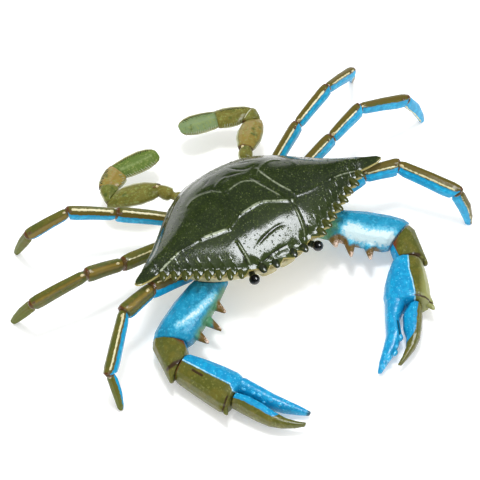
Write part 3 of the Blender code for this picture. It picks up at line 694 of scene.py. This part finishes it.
def shell_rows(count):
    """Places of one face's points from the front edge to the rear edge, and how far inside the rim."""
    t = (1 - np.cos(np.linspace(0, math.pi, count))) / 2
    t = 0.45 * t + 0.55 * np.linspace(0, 1, count)
    x = np.repeat(across_x[:, None], count, axis=1)
    straight = smooth_front[:, None] + (rear_y - smooth_front)[:, None] * t[None, :]
    toothed_part = (1 - fade(straight - smooth_front[:, None], 0, 6)) * (front_y - smooth_front)[:, None]
    y = straight + toothed_part
    return x, y, np.minimum(y - front_y[:, None], rear_y[:, None] - y)


def face(x, y, inset, high, low, own):
    """A face at its own height, which meets the other one in a round rim."""
    middle = np.minimum((high + low) / 2, high - 0.35)
    rounding = np.sqrt(np.clip(1 - (1 - np.clip(inset / EDGE_ROUND, 0, 1)) ** 2, 0, 1))
    return np.stack([x, y, middle + (own - middle) * rounding], axis=2)


def ring(upper, lower):
    """Values of every point round every section, then the mean at each end."""
    turn = np.concatenate([upper, lower[:, -2:0:-1]], axis=1)
    return np.concatenate([turn.reshape(-1, *turn.shape[2:]), turn[:1].mean(axis=1), turn[-1:].mean(axis=1)])


x, y, inset = shell_rows(TOP_ROWS)
top_z = sample(upper_map, x, y)
even = fade(inset, 1.5, 6) * fade(HALF_SPAN - np.abs(x - MIDLINE), 6, 22)
top_z = top_z + (sample(dome_map, x, y) - top_z) * even
carved, pale, dark = relief(x - MIDLINE, REAR - y)
calm = fade(inset, 0.3, 3)
ribs = (tooth - 0.5) * 1.7 * fade(valley_y[:, None] + 0.9 - y, 0, 2.2) * fade(inset, 0, 0.8)
top = face(x, y, inset, top_z, sample(lower_map, x, y), top_z + carved * calm + ribs)
toothed = tooth * fade(valley_y[:, None] + 1.2 - y, 0, 1.6)

x, low_y, low_inset = shell_rows(UNDER_ROWS)
low_z = sample(lower_map, x, low_y)
under = face(x, low_y, low_inset, sample(upper_map, x, low_y), low_z, low_z)
none = np.zeros_like(x)
shell_facts = {"rim_mm": ring(inset, low_inset), "forward": ring(REAR - y, REAR - low_y),
               "pale": ring(pale * calm, none), "dark": ring(dark * calm, none), "tooth": ring(toothed, none),
               "under": ring(0 * inset, fade(low_inset, 0, 0.5))}
shell_xyz = ring(top, under)
index = np.arange(len(shell_xyz) - 2).reshape(COLUMNS, -1)
wrapped = np.roll(index, -1, axis=1)
quads = np.stack([index[:-1], index[1:], wrapped[1:], wrapped[:-1]], axis=2).reshape(-1, 4)
fans = [(index.size, a, b) for a, b in zip(index[0], wrapped[0])]
fans += [(index.size + 1, b, a) for a, b in zip(index[-1], wrapped[-1])]
shell_mesh = bpy.data.meshes.new("carapace_moulding")
shell_mesh.from_pydata(shell_xyz.tolist(), [], quads.tolist() + fans)
outwards = bmesh.new()
outwards.from_mesh(shell_mesh)
bmesh.ops.recalc_face_normals(outwards, faces=outwards.faces)
outwards.to_mesh(shell_mesh)
outwards.free()
print("carapace faces:", len(shell_mesh.polygons), "highest at z =", round(float(top[:, :, 2].max()), 2))

# %% [markdown]
# ## Carapace paint
# Black-green all over, lighter and yellower towards the teeth, with cream along the very edge and a fine
# spatter of light green. The raised lines carry a painted highlight on their crests, and the cuts are
# painted nearly black as painted shade.

# %% Carapace finish


def spatter(tree):
    """Low inside dots of mixed sizes; real ones are finer, and these are as coarse as they need to show."""
    place = add(tree, "ShaderNodeTexCoord").outputs["Object"]
    cells = add(tree, "ShaderNodeTexVoronoi", {"Vector": place, "Scale": per_mm(0.75), "Randomness": 1})
    size = add(tree, "ShaderNodeSeparateColor", {0: cells.outputs["Color"]}).outputs[0]
    return add(tree, "ShaderNodeMath", {0: size, 1: 0.3, 2: cells.outputs["Distance"]},
               operation="MULTIPLY_ADD").outputs[0]


# black-green acrylic with an airbrushed spatter: fine pale dots that make the dark shell look grainy
shell_vinyl = finish("spattered_black_green_varnished_vinyl", "#1d2a0b", [
    (mottle(9, 3, 1), 0.4, 0.68, "#27340c"),
    (mottle(0.6, 3, 2), 0.5, 0.7, "#3a4a17"),
    ("forward", 34, 49, "#2f3e0e"),
    (wavy("tooth", 1, 0.2, 3), 0.1, 0.75, "#4a4d12"),
    (spatter, 0.24, 0.1, "#707d45"),
    # painted shade: the cuts are painted nearly black
    ("dark", 0.4, 0.85, "#0b0f05"),
    # painted highlight on the crests of the raised lines
    (both(mottle(0.9, 3, 6, 0.55), "pale"), 0.3, 1, "#a4ad92"),
    (wavy("rim_mm", 1.2, 0.15, 4), 0.42, 0.15, "#a99d5a"),
    ("under", 0.2, 0.8, "#b3a86e")], [(2.6, 0.06), (0.5, 0.034)], THICK_VARNISH)
settle(shell_mesh, shell_xyz, "carapace_moulding", shell_vinyl, "shell_green", ["carapace"], shell_facts)

# %% [markdown]
# ## Granules
# A real shell is rough with granules, and the mould has them too. They are too fine to model one by one
# at their true count, so about a thousand slightly larger ones stand for them. Each is a low ball sunk in
# the shell, and they crowd towards the front.

# %% Granules on the shell
# dry-brushed tips: the brush only touches what stands up, so granules are lighter than the shell
granule_vinyl = finish("dry_brushed_green_varnished_vinyl", "#26330f", [("tone", 0.3, 0.95, "#4c5a26")],
                       [(0.3, 0.01)], THICK_VARNISH)
GRANULES = 1100
granule_chance = np.random.default_rng(11)
granules = []
while len(granules) < GRANULES:
    column, row = granule_chance.integers(8, COLUMNS - 8), granule_chance.integers(4, TOP_ROWS - 4)
    point = top[column, row]
    from_rim = min(point[1] - front_y[column], rear_y[column] - point[1])
    if from_rim > 3 and granule_chance.random() < 0.25 + 0.75 * fade(REAR - point[1], 14, 44):
        run, rise = top[column + 1, row] - point, top[column, row + 1] - point
        height = 0.07 + 0.08 * granule_chance.random()
        directions = square_to(unit(np.cross(run, rise)), unit(run))
        granules.append((point, directions, (0.26, 0.26, height), granule_chance.random()))
beads("carapace_granules", granules, granule_vinyl, "shell_green",
      **{"Size spread": 0.35, "Roundness": 2, "Seed": 3})

# %% [markdown]
# ## Tooth caps
# Each tooth along the front edge is swollen and rounded over its root. A low ball on every tooth gives it
# that form. The four between the eyes are nearly black, the others olive.

# %% Caps on the teeth
# thick varnish over olive-brown: each cap carries one small sharp glint
cap_vinyl = finish("olive_varnished_vinyl_teeth", "#3d4312", [
    ("tone", 0.3, 0.8, "#1c2510"), (mottle(0.9, 3, 1), 0.5, 0.75, "#555a22")], [(0.8, 0.03)], THICK_VARNISH)
BETWEEN_EYES = 11                 # millimetres from the middle to the last dark tooth
standing_out = valley_y - front_y
caps = []
for k in range(4, COLUMNS - 4):
    aside = across_x[k] - MIDLINE
    on_tip = standing_out[k] > 0.8 and standing_out[k] == standing_out[k - 4:k + 5].max()
    if on_tip and abs(aside) < HALF_SPAN - SPINE_LENGTH and (not caps or across_x[k] - caps[-1][0][0] > 2.2):
        outward = unit(np.array((0.45 * np.sign(aside) * (abs(aside) > 12), -1, -0.35)))
        row = int(np.argmin(np.abs(top[k, :, 1] - front_y[k] - 1.4)))
        dark_tooth = abs(aside) < BETWEEN_EYES
        directions = square_to(np.cross(outward, np.cross(UP, outward)), outward)
        caps.append((top[k, row] - 0.1 * UP, directions, (2.1, 1.5, 0.75) if dark_tooth else (2.1, 1.15, 0.7),
                     float(dark_tooth)))
print("teeth found at", [round(float(cap[0][0] - MIDLINE), 1) for cap in caps])
beads("tooth_caps", caps, cap_vinyl, "shell_green", **{"Size spread": 0.08, "Roundness": 4, "Seed": 2})

# %% [markdown]
# ## Swimming legs
# The last pair is flattened for swimming: a knobbed base, an oval arm, a round wrist, a broad hand
# and a leaf-shaped paddle. All are washed from khaki to leaf green, with a fringe along the margins.

# %% Swimming-leg paint
# thin washes over cream vinyl: the pigment gathers in the hollows and leaves the margins pale
swim_vinyl = finish("washed_green_varnished_vinyl", "#615f20", [
    (mottle(4, 4, 1), 0.38, 0.62, "#716b2a"),
    ("leaf", 0.2, 0.9, "#57702a"),
    ("tan", 0.2, 0.9, "#8c7734"),
    ("grey", 0.2, 0.9, "#71865a"),
    (mottle(0.9, 4, 2), 0.48, 0.72, "#86914c"),
    (mottle(2.6, 4, 7), 0.52, 0.72, "#4b5a22"),
    (both(mottle(1.5, 3, 9), "midrib"), 0.2, 0.8, "#84955c"),
    (wavy("joint_mm", 1, 0.5, 3), 1.5, 0.4, "#4a3512"),
    (wavy("margin_mm", 1.1, 0.3, 4), 1, 0.5, "#6f6a30"),
    ("margin_mm", 0.55, 0.2, "#b3b795")], [(1.8, 0.1), (0.5, 0.03)],
    {**VARNISH, "Coat Weight": 0.4, "Coat Roughness": 0.24})

# %% Swimming-leg pieces
SWIM_PARTS = ("basis", "merus", "carpus", "propodus", "paddle")
SWIM_WASH = {      # leaf green, tan, grey-green
    "right": [(0.2, 0.4, 0.2), (0.3, 0.2, 0), (0.5, 0.3, 0), (0, 0.9, 0.1), (0.8, 0, 0)],
    "left": [(0.2, 0.2, 0.3), (0, 0.7, 0), (0.3, 0.2, 0.1), (0.1, 0.3, 0.1), (0.2, 0, 0.9)]}
bristles = []
for side in SIDES:
    before = thorax_middle
    for part, (leaf, tan, grey) in zip(SWIM_PARTS, SWIM_WASH[side]):
        limb = Limb(f"{side}_swim_{part}", 0.26, 14, side, before=before)
        paddle, ends = part == "paddle", limb.between_ends(1, 3)
        midrib = bump(limb.share * limb.half, 0.9) * ends * paddle
        lift = 0.05 + 0.3 * bump(limb.share * limb.half, 0.7) * ends
        lift -= 0.25 * bump((np.abs(limb.share) - 0.55) * limb.half, 0.9) * ends * paddle
        lift -= 0.9 * bump(limb.along - limb.length * 0.6, 1) * (part == "basis")
        limb.points = limb.points + limb.normals * lift[:, None]
        limb.lengthen(0.5, 2.5)
        far_end = (3 - 3 * fade(limb.length - limb.along, 0, 1.6)) * (not paddle)
        margin = (1 - np.abs(limb.share)) * limb.half + 3 - 3 * fade(limb.along, 0, 1.6) + far_end
        limb.settle(swim_vinyl, "swim_green", {"joint_mm": limb.along, "leaf": leaf, "tan": tan, "grey": grey,
                                               "margin_mm": margin, "midrib": midrib})
        if part in ("basis", "merus"):
            # a high tone gives a knob a painted cream glint
            for step, tone in ((0.9, 0.95), (2, 0.4)):
                limb.bead(knobs, step, 0.3 * limb.most[8], (0.6, 0.55, 0.4), tone)
        if part in ("paddle", "propodus"):
            for step in np.arange(2.4, limb.length - 1.4, 0.95):
                for outward in (1, -1):
                    lean = limb.wide * outward + limb.way * 0.5
                    limb.bead(bristles, step, limb.edge(step, outward) - outward * 0.9, (0.75, 0.17, 0.13),
                              0.5 + 0.5 * outward, lean)
        before = limb.points.mean(axis=0)
print("swimming legs done,", len(bristles), "bristles to come")

# %% [markdown]
# ## Claws
# The arm is sky blue with a pale mottled patch, partly sponged paint and partly a painted highlight, and a
# green front edge, from which three brown spines stand. The wrist is olive-brown. The hand is olive outside
# and bright blue inside, and its fixed finger is blue, while the moving finger is olive with a blue inner
# face.

# %% Joints of the claws
CLAW_ROOT, REAR_OF_DESIGN = (22, -3.5, 14), 34.6      # from the middle of the design, before it was set down
CLAW_STEPS = {     # length, heading from straight aside, and slope, of the arm, the wrist and the hand
    "right": ((32.4, -24.5, -9), (11.5, -74, -5), (23.7, -117, 0)),
    "left": ((33.2, -37.5, -9), (11.1, -101, -5), (20.7, -126, 0))}


def claw_joints(side):
    """Where the arm starts and ends, and where the wrist and the palm end."""
    joints = [np.array((MIDLINE + CLAW_ROOT[0] * SIDES[side], REAR - REAR_OF_DESIGN + CLAW_ROOT[1],
                        CLAW_ROOT[2]))]
    for length, heading, slope in CLAW_STEPS[side]:
        turn, rise = math.radians(heading), math.radians(slope)
        joints.append(joints[-1] + length * np.array((math.cos(turn) * math.cos(rise) * SIDES[side],
                                                      math.sin(turn) * math.cos(rise), math.sin(rise))))
    return joints


# %% Claw paint
# airbrushed blue, sponged while wet so that the blots stay soft; the pale patch of paler blue and near-white
# blots is partly sponged paint and partly a painted highlight
SPONGED_PAINTED_HIGHLIGHT = both(mottle(1.3, 4, 2, 0.2), "patch")
arm_vinyl = finish("sponged_blue_varnished_vinyl", "#087a9f", [
    (mottle(4, 3, 1), 0.35, 0.62, "#1590b8"),
    (mottle(0.9, 4, 3), 0.5, 0.68, "#38a8cb"),
    # pale blue and near-white: sponged paint and painted highlight
    (SPONGED_PAINTED_HIGHLIGHT, 0.3, 0.5, "#63bbd8"),
    (SPONGED_PAINTED_HIGHLIGHT, 0.48, 0.66, "#c8e0e4"),
    (wavy("green", 2, 0.3, 4), 0.3, 1, "#4d8560"),
    (wavy("spine", 1.2, 0.12, 5), 0.1, 0.3, "#6a5120"),
    ("spine", 0.72, 0.9, "#5a3a1c"),
    # painted glints: pale spots near the spine tips
    (both(mottle(0.8, 2, 6), "spine"), 0.24, 0.34, "#d8bfae")], [(1.1, 0.4), (0.4, 0.1)])

# masked and brushed: olive over the outer side, bright blue inside, a pale line where they meet
hand_vinyl = finish("masked_olive_and_blue_varnished_vinyl", "#54571a", [
    (mottle(3, 4, 2), 0.42, 0.66, "#65601e"),
    (mottle(0.9, 3, 3), 0.52, 0.7, "#737535"),
    # painted light: the left palm is painted a lighter olive towards its upper side
    ("light", 0.1, 0.7, "#8f9358"),
    (mottle(0.9, 2, 4), 0.72, 0.78, "#3a2c10"),
    (wavy("joint_mm", 1.2, 0.5, 8), 1.6, 0.4, "#6a3212"),
    (wavy("olive_mm", 1.8, 0.45, 1), 0.12, -0.12, "#0088bc"),
    (both(mottle(1.8, 3, 5), "blue_mask"), 0.42, 0.62, "#0a9ccc"),
    # painted glints: pale cyan flecks over the blue
    (both(mottle(0.8, 3, 9), "blue_mask"), 0.58, 0.7, "#62c9ea"),
    (wavy("line_mm", 1.4, 0.3, 6), 0, 0.25, "#a9d9e6"),
    ("groove", 0.3, 0.9, "#3b2a12"),
    ("dark", 0.2, 0.9, "#144a5c")], [(1.7, 0.18), (0.5, 0.05)])

# %% Arms
ARM_TIPS = {"right": ((9.8, -11), (16.6, -13.6), (23.8, -12.3)),
            "left": ((9.8, -7.4), (16.1, -10.3), (23.7, -10.1))}
PAINTED_HIGHLIGHT_PATCH = {     # line, width and strength
    "right": ([(27, 1.4), (24.7, 0), (16.5, -1.8), (8.9, -3.9)], 2.5, 0.8),
    "left": ([(13.5, -0.2), (20.7, -1.2), (28.5, -1)], 5, 1.12)}
ARM_GREEN = {"right": ([(5, -6), (17, -6.8), (25, -7.6)], 3.2), "left": ([(1, -6), (4, -3), (5.5, 1.5)], 5)}
arms, hands = {}, {}
for side in SIDES:
    root, elbow, wrist, knuckle = claw_joints(side)
    arms[side] = limb = Limb(side + "_claw_merus", 0.3, 12, side, root, elbow)
    patch, width, strength = PAINTED_HIGHLIGHT_PATCH[side]
    green, green_width = ARM_GREEN[side]
    tips = [np.hypot(limb.along - a, (limb.across - b) * 0.8) for a, b in ARM_TIPS[side]]
    # the pale patch is partly a painted highlight, kept to the sides turned towards PAINTER
    pale = bump(from_line(limb.along, limb.across, patch), width) * fade(limb.seen, -0.3, 0.2)
    limb.settle(arm_vinyl, "claw_blue", {
        "spine": 1 - np.min(tips, axis=0) / 5.4, "patch": pale * strength,
        "green": bump(from_line(limb.along, limb.across, green), green_width)})

# %% Wrists, palms and fingers
WRIST_OLIVE_FROM = {"right": -5.2, "left": -3.4}
PALM_EDGE = {      # (distance along, where the olive starts across)
    "right": ((-4, -3.8), (8, -3.5), (21.7, -3.2), (24.6, -0.7), (26.2, 4), (30, 12)),
    "left": ((-4, -1.7), (7.9, -1.2), (15, 0.3), (22.5, 1.5), (27.7, 2.4), (36, 6))}
MOVING_OLIVE = {   # share, then the reach where all is olive
    "right": (-0.35, 16, 21), "left": (0.35, 10, 24)}
PALM_GROOVES = {"right": [(6.6, -2.3), (10.8, -2)], "left": [(29.5, -4.9), (34.8, -3.9)]}
AWAY = {"olive_mm": 9, "blue_mask": 0, "light": 0, "joint_mm": 9, "line_mm": -9, "groove": 0,
        "dark": 0}    # what the hand paint reads where a piece has no such mark

for side in SIDES:
    root, elbow, wrist, knuckle = claw_joints(side)
    limb = Limb(side + "_claw_carpus", 0.3, 10, side, elbow, wrist)
    edge = limb.across - WRIST_OLIVE_FROM[side]
    beyond_arm = (limb.points - arms[side].start) @ arms[side].way
    hollow = [(limb.length - 1, -4.5), (limb.length + 0.5, 3.5)]
    limb.settle(hand_vinyl, "limb_olive", {
        **AWAY, "olive_mm": edge, "blue_mask": fade(edge, 0, -0.4),
        "joint_mm": 0.6 * (beyond_arm - beyond_arm.min()),
        "groove": bump(from_line(limb.along, limb.across, hollow), 1)})

    hands[side] = limb = Limb(side + "_claw_palm", 0.3, 12, side, wrist, knuckle)
    edge = limb.across - np.interp(limb.along, *zip(*PALM_EDGE[side]))
    groove = bump(from_line(limb.along, limb.across, PALM_GROOVES[side]), 0.6) * fade(limb.seen, 0, 0.4)
    hinge = bump(limb.along - limb.length + 0.6, 0.5) * fade(limb.across, -1, 1.5)
    limb.points = limb.points - limb.normals * (0.35 * groove + 0.25 * hinge)[:, None]
    limb.settle(hand_vinyl, "claw_blue", {
        **AWAY, "olive_mm": edge, "blue_mask": fade(edge, 0, -0.6), "joint_mm": limb.along,
        # light: painted light on the left palm's upper side
        "line_mm": 0.3 - np.abs(edge + 0.3), "light": 0.7 * fade(limb.across, 0.5, 6) * (side == "left"),
        "groove": np.maximum(groove * (side == "right"), hinge),
        "dark": np.maximum(fade(limb.along, 47, 50), groove * (side == "left"))})

    limb = Limb(side + "_claw_dactyl", 0.26, 12, side, knuckle, knuckle + 26 * unit(knuckle - wrist))
    start, blue_end, olive_end = MOVING_OLIVE[side]
    edge = (limb.share - start) * limb.half + 6 * fade(limb.along, blue_end, olive_end)
    limb.settle(hand_vinyl, "limb_olive", {
        **AWAY, "olive_mm": edge, "blue_mask": fade(edge, 0, -0.6), "joint_mm": limb.along + 0.8})

# %% Beads, knobs, necks and bristles
FINGER_BEADS = {   # distance along the hand, across it, and radius
    "right": ((25.8, -3.5, 0.7), (29.6, -3.7, 0.9), (31.9, -3.9, 1), (34.6, -2.2, 0.6), (36.5, -4, 1.1),
              (40.4, -4, 1), (43, -5.6, 0.8), (45.4, -5, 0.9)),
    "left": ((36.1, -3.9, 1.6), (40, -5.2, 0.9), (43.2, -5.6, 1.5), (45.5, -8.2, 1.6), (49.6, -9.9, 1.2))}

# raised beads take the varnish thickly; their paler blue and pale flecks are a painted highlight
bead_vinyl = finish("blue_vinyl_with_painted_highlights", "#0b93cb", [
    ("tone", 0.2, 0.9, "#2fb0de"), (mottle(0.8, 2, 1), 0.5, 0.75, "#7fcbe6")], [(0.8, 0.02)], THICK_VARNISH)
# joints were touched with red-brown and their tops wiped, so knobs catch the light with a cream tip
# joints are touched with red-brown; the cream on the knobs' tops is a painted highlight, a glint painted on
knob_vinyl = finish("red_brown_vinyl_with_painted_cream_glints", "#54401a", [
    ("tone", 0.25, 0.6, "#8b6a36"), ("tone", 0.6, 0.95, "#cbbf90"),
    (mottle(0.9, 2, 1), 0.5, 0.75, "#5d4318")], [(0.8, 0.02)], THICK_VARNISH)
# the brush leaves the bristles' tips grey-green against the dark wash between them
bristle_vinyl = finish("grey_green_brushed_vinyl", "#343a20", [("tone", 0.2, 0.8, "#8f9478")], [(0.4, 0.01)])
finger_beads = []
for side in SIDES:
    for along, across, radius in FINGER_BEADS[side]:
        sizes = (radius, radius * 0.85, radius * 0.8)
        # the tone of 0.6 paints the beads paler, as a painted highlight
        hands[side].bead(finger_beads, along, across, sizes, 0.6, sunk=radius * 0.15)
beads("finger_beads", finger_beads, bead_vinyl, "claw_blue", **{"Roundness": 4, "Seed": 5})
beads("joint_knobs", knobs, knob_vinyl, "limb_olive", **{"Size spread": 0.25, "Roundness": 3, "Seed": 7})
beads("joint_necks", necks, knob_vinyl, "limb_olive", **{"Size spread": 0.0, "Roundness": 4})
beads("paddle_bristles", bristles, bristle_vinyl, "swim_green",
      **{"Size spread": 0.3, "Roundness": 2, "Seed": 9})

# %% [markdown]
# ## Belly, mouth and tail plate
# The underside is cream vinyl, painted a darker grey-green in its grooves. The breast plate is
# cut into bands that run out to the legs, and the tail plate folded under it into short rings.

# %% Belly finish and pieces
# the grooves are painted a darker grey-green
belly_vinyl = finish("cream_varnished_vinyl", "#c2b78a", [
    (mottle(6, 3, 1), 0.4, 0.7, "#cfc7a4"),
    (mottle(1.5, 3, 2), 0.6, 0.8, "#9b966a"),
    ("groove", 0.15, 0.8, "#5f6f5a")], [(2, 0.1), (0.4, 0.02)])
BELLY_PIECES = {"thorax": (0.5, 8), "abdomen": (0.3, 6),
                "left_maxilliped": (0.2, 6), "right_maxilliped": (0.2, 6)}    # voxel in mm, smoothing rounds
SEAMS = {"thorax": (-6, 1, 9, 16, 22), "abdomen": (4, 9, 13.5, 17.5, 21)}    # forward is negative
LIP_ROOT = (REAR - REAR_OF_DESIGN - 14.2, 19)    # the lip under the front teeth is thin: y where it starts, z
for node, (voxel, rounds) in BELLY_PIECES.items():
    mesh, points, normals = skin(node, voxel, rounds)
    aside = np.abs(points[:, 0] - MIDLINE)
    bend = 0.12 * aside if node == "thorax" else -0.04 * aside ** 1.5
    seams = [bump(points[:, 1] - (REAR - REAR_OF_DESIGN) - seam - bend, 0.5) for seam in SEAMS.get(node, ())]
    groove = np.max([0 * aside, *seams], axis=0) * fade(-normals[:, 2], 0.1, 0.5)
    points = points - normals * (0.35 * groove)[:, None]
    ahead = np.minimum(points[:, 1] - LIP_ROOT[0], 0) * (node != "abdomen")
    points[:, 1] += 1.2 * ("maxilliped" in node) - 0.45 * ahead
    below = np.maximum(LIP_ROOT[1] - points[:, 2], 0) * (node == "thorax")
    points[:, 2] += 0.4 * fade(-ahead, 0, 1.5) * below
    settle(mesh, points, node + "_moulding", belly_vinyl, "belly_cream", [node], {"groove": groove})

# %% [markdown]
# ## Eyes
# Glossy black balls on short black-green stalks.

# %% Eyes and stalks
# enamel flows out smooth before it dries, so each eye mirrors the lamps sharply
eye_vinyl = finish("black_gloss_enamel", "#060705", [(mottle(1.2, 2, 1), 0.5, 0.8, "#10140c")], [(1, 0.004)],
                   {**THICK_VARNISH, "Coat Roughness": 0.04})
# the stalks have the shell's paint, brushed: a little green shows through the black
stalk_vinyl = finish("black_green_varnished_vinyl", "#151d0c", [(mottle(0.8, 2, 1), 0.5, 0.75, "#3a4520")],
                     [(0.6, 0.03)])
for side in SIDES:
    for label, rounds, material, slot in (("eye", 20, eye_vinyl, "eye_black"),
                                          ("eyestalk", 5, stalk_vinyl, "shell_green")):
        node = f"{side}_{label}"
        mesh, points, normals = skin(node, 0.14, rounds)
        settle(mesh, points, node + "_moulding", material, slot, [node], {})

# %% [markdown]
# ## Floor, light and camera
# A white floor, lit a little from below, inside an even white tent, with one soft lamp almost overhead.
# Neither the tent nor the lamp shows in the varnish. Three more panels do only that: a window in front puts
# the pale shine on the front of the shell, a wall behind gives its rear slope a grey sheen, and a dim
# ceiling lifts the rest a little.

# %% Floor
floor_mesh = bpy.data.meshes.new("floor")
floor_mesh.from_pydata([(-3, -3, 0), (3, -3, 0), (3, 3, 0), (-3, 3, 0)], [], [(0, 1, 2, 3)])
floor = placed("floor", floor_mesh)
# uncoated paper over a light table: no shine at all, and as white as the tent
floor_white = bpy.data.materials.new("matt_white_paper")
floor_white.use_nodes = True
for label, value in {"Base Color": (0.9, 0.9, 0.9, 1), "Roughness": 0.9, "Specular IOR Level": 0,
                     "Emission Color": (1, 1, 1, 1), "Emission Strength": 0.22}.items():
    floor_white.node_tree.nodes["Principled BSDF"].inputs[label].default_value = value
floor_mesh.materials.append(floor_white)
print("floor:", floor_white.name)

# %% Light


def softbox(name, towards, away, width, depth, brightness, shines=True, lights=True, tint=(1, 1, 1)):
    """A rectangular lamp that faces the crab; brightness is how white it looks in a mirror."""
    light = bpy.data.lights.new(name, "AREA")
    light.shape = "RECTANGLE"
    light.size, light.size_y, light.color = width, depth, tint
    light.energy = brightness * math.pi * width * depth
    lamp = placed(name, light)
    towards = Vector(towards).normalized()
    lamp.location = towards * away
    lamp.rotation_euler = towards.to_track_quat("Z", "Y").to_euler()
    lamp.visible_glossy, lamp.visible_diffuse = shines, lights
    print("lamp", name, "brightness", brightness)


world = bpy.data.worlds.new("studio")
bpy.context.scene.world = world
world.use_nodes = True
world.node_tree.nodes["Background"].inputs["Color"].default_value = (1, 1, 1, 1)
world.node_tree.nodes["Background"].inputs["Strength"].default_value = 1
world.cycles_visibility.glossy = False
softbox("overhead_lamp", (0, 0.06, 1), 1.5, 0.3, 0.3, 36, shines=False)
softbox("window", (0.295, -0.505, 0.805), 1, 0.38, 0.42, 17, lights=False, tint=(0.93, 0.96, 1))
softbox("white_wall_behind", (0.33, 0.94, 0.12), 1.4, 1.8, 0.8, 1.15, lights=False)
softbox("dim_ceiling", (0, 0, 1), 1.5, 2.5, 2.5, 0.15, lights=False)

# %% Camera
YAW = math.radians(-33.4)         # from looking along y, towards the crab's left
PITCH = math.radians(52.2)        # looking down
FIELD_OF_VIEW = math.radians(12)
AWAY_FROM_AIM = 881.39 * MM
AIM_ASIDE, AIM_FORWARD = 0.667 * MM, 19.689 * MM    # from the middle of the shell's rear edge
carapace_low, carapace_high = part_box("carapace")
aim = Vector(((carapace_low.x + carapace_high.x) / 2 + AIM_ASIDE, carapace_high.y - AIM_FORWARD, 0))
ahead = Vector((-math.sin(YAW) * math.cos(PITCH), math.cos(YAW) * math.cos(PITCH), -math.sin(PITCH)))
lens = bpy.data.cameras.new("camera")
lens.angle = FIELD_OF_VIEW
lens.clip_start = 0.01
camera = placed("camera", lens)
camera.location = aim - ahead * AWAY_FROM_AIM
camera.rotation_euler = ahead.to_track_quat("-Z", "Y").to_euler()
bpy.context.scene.camera = camera
bpy.context.scene.view_settings.view_transform = "Standard"
print("camera", round(AWAY_FROM_AIM / MM), "mm from the shell")
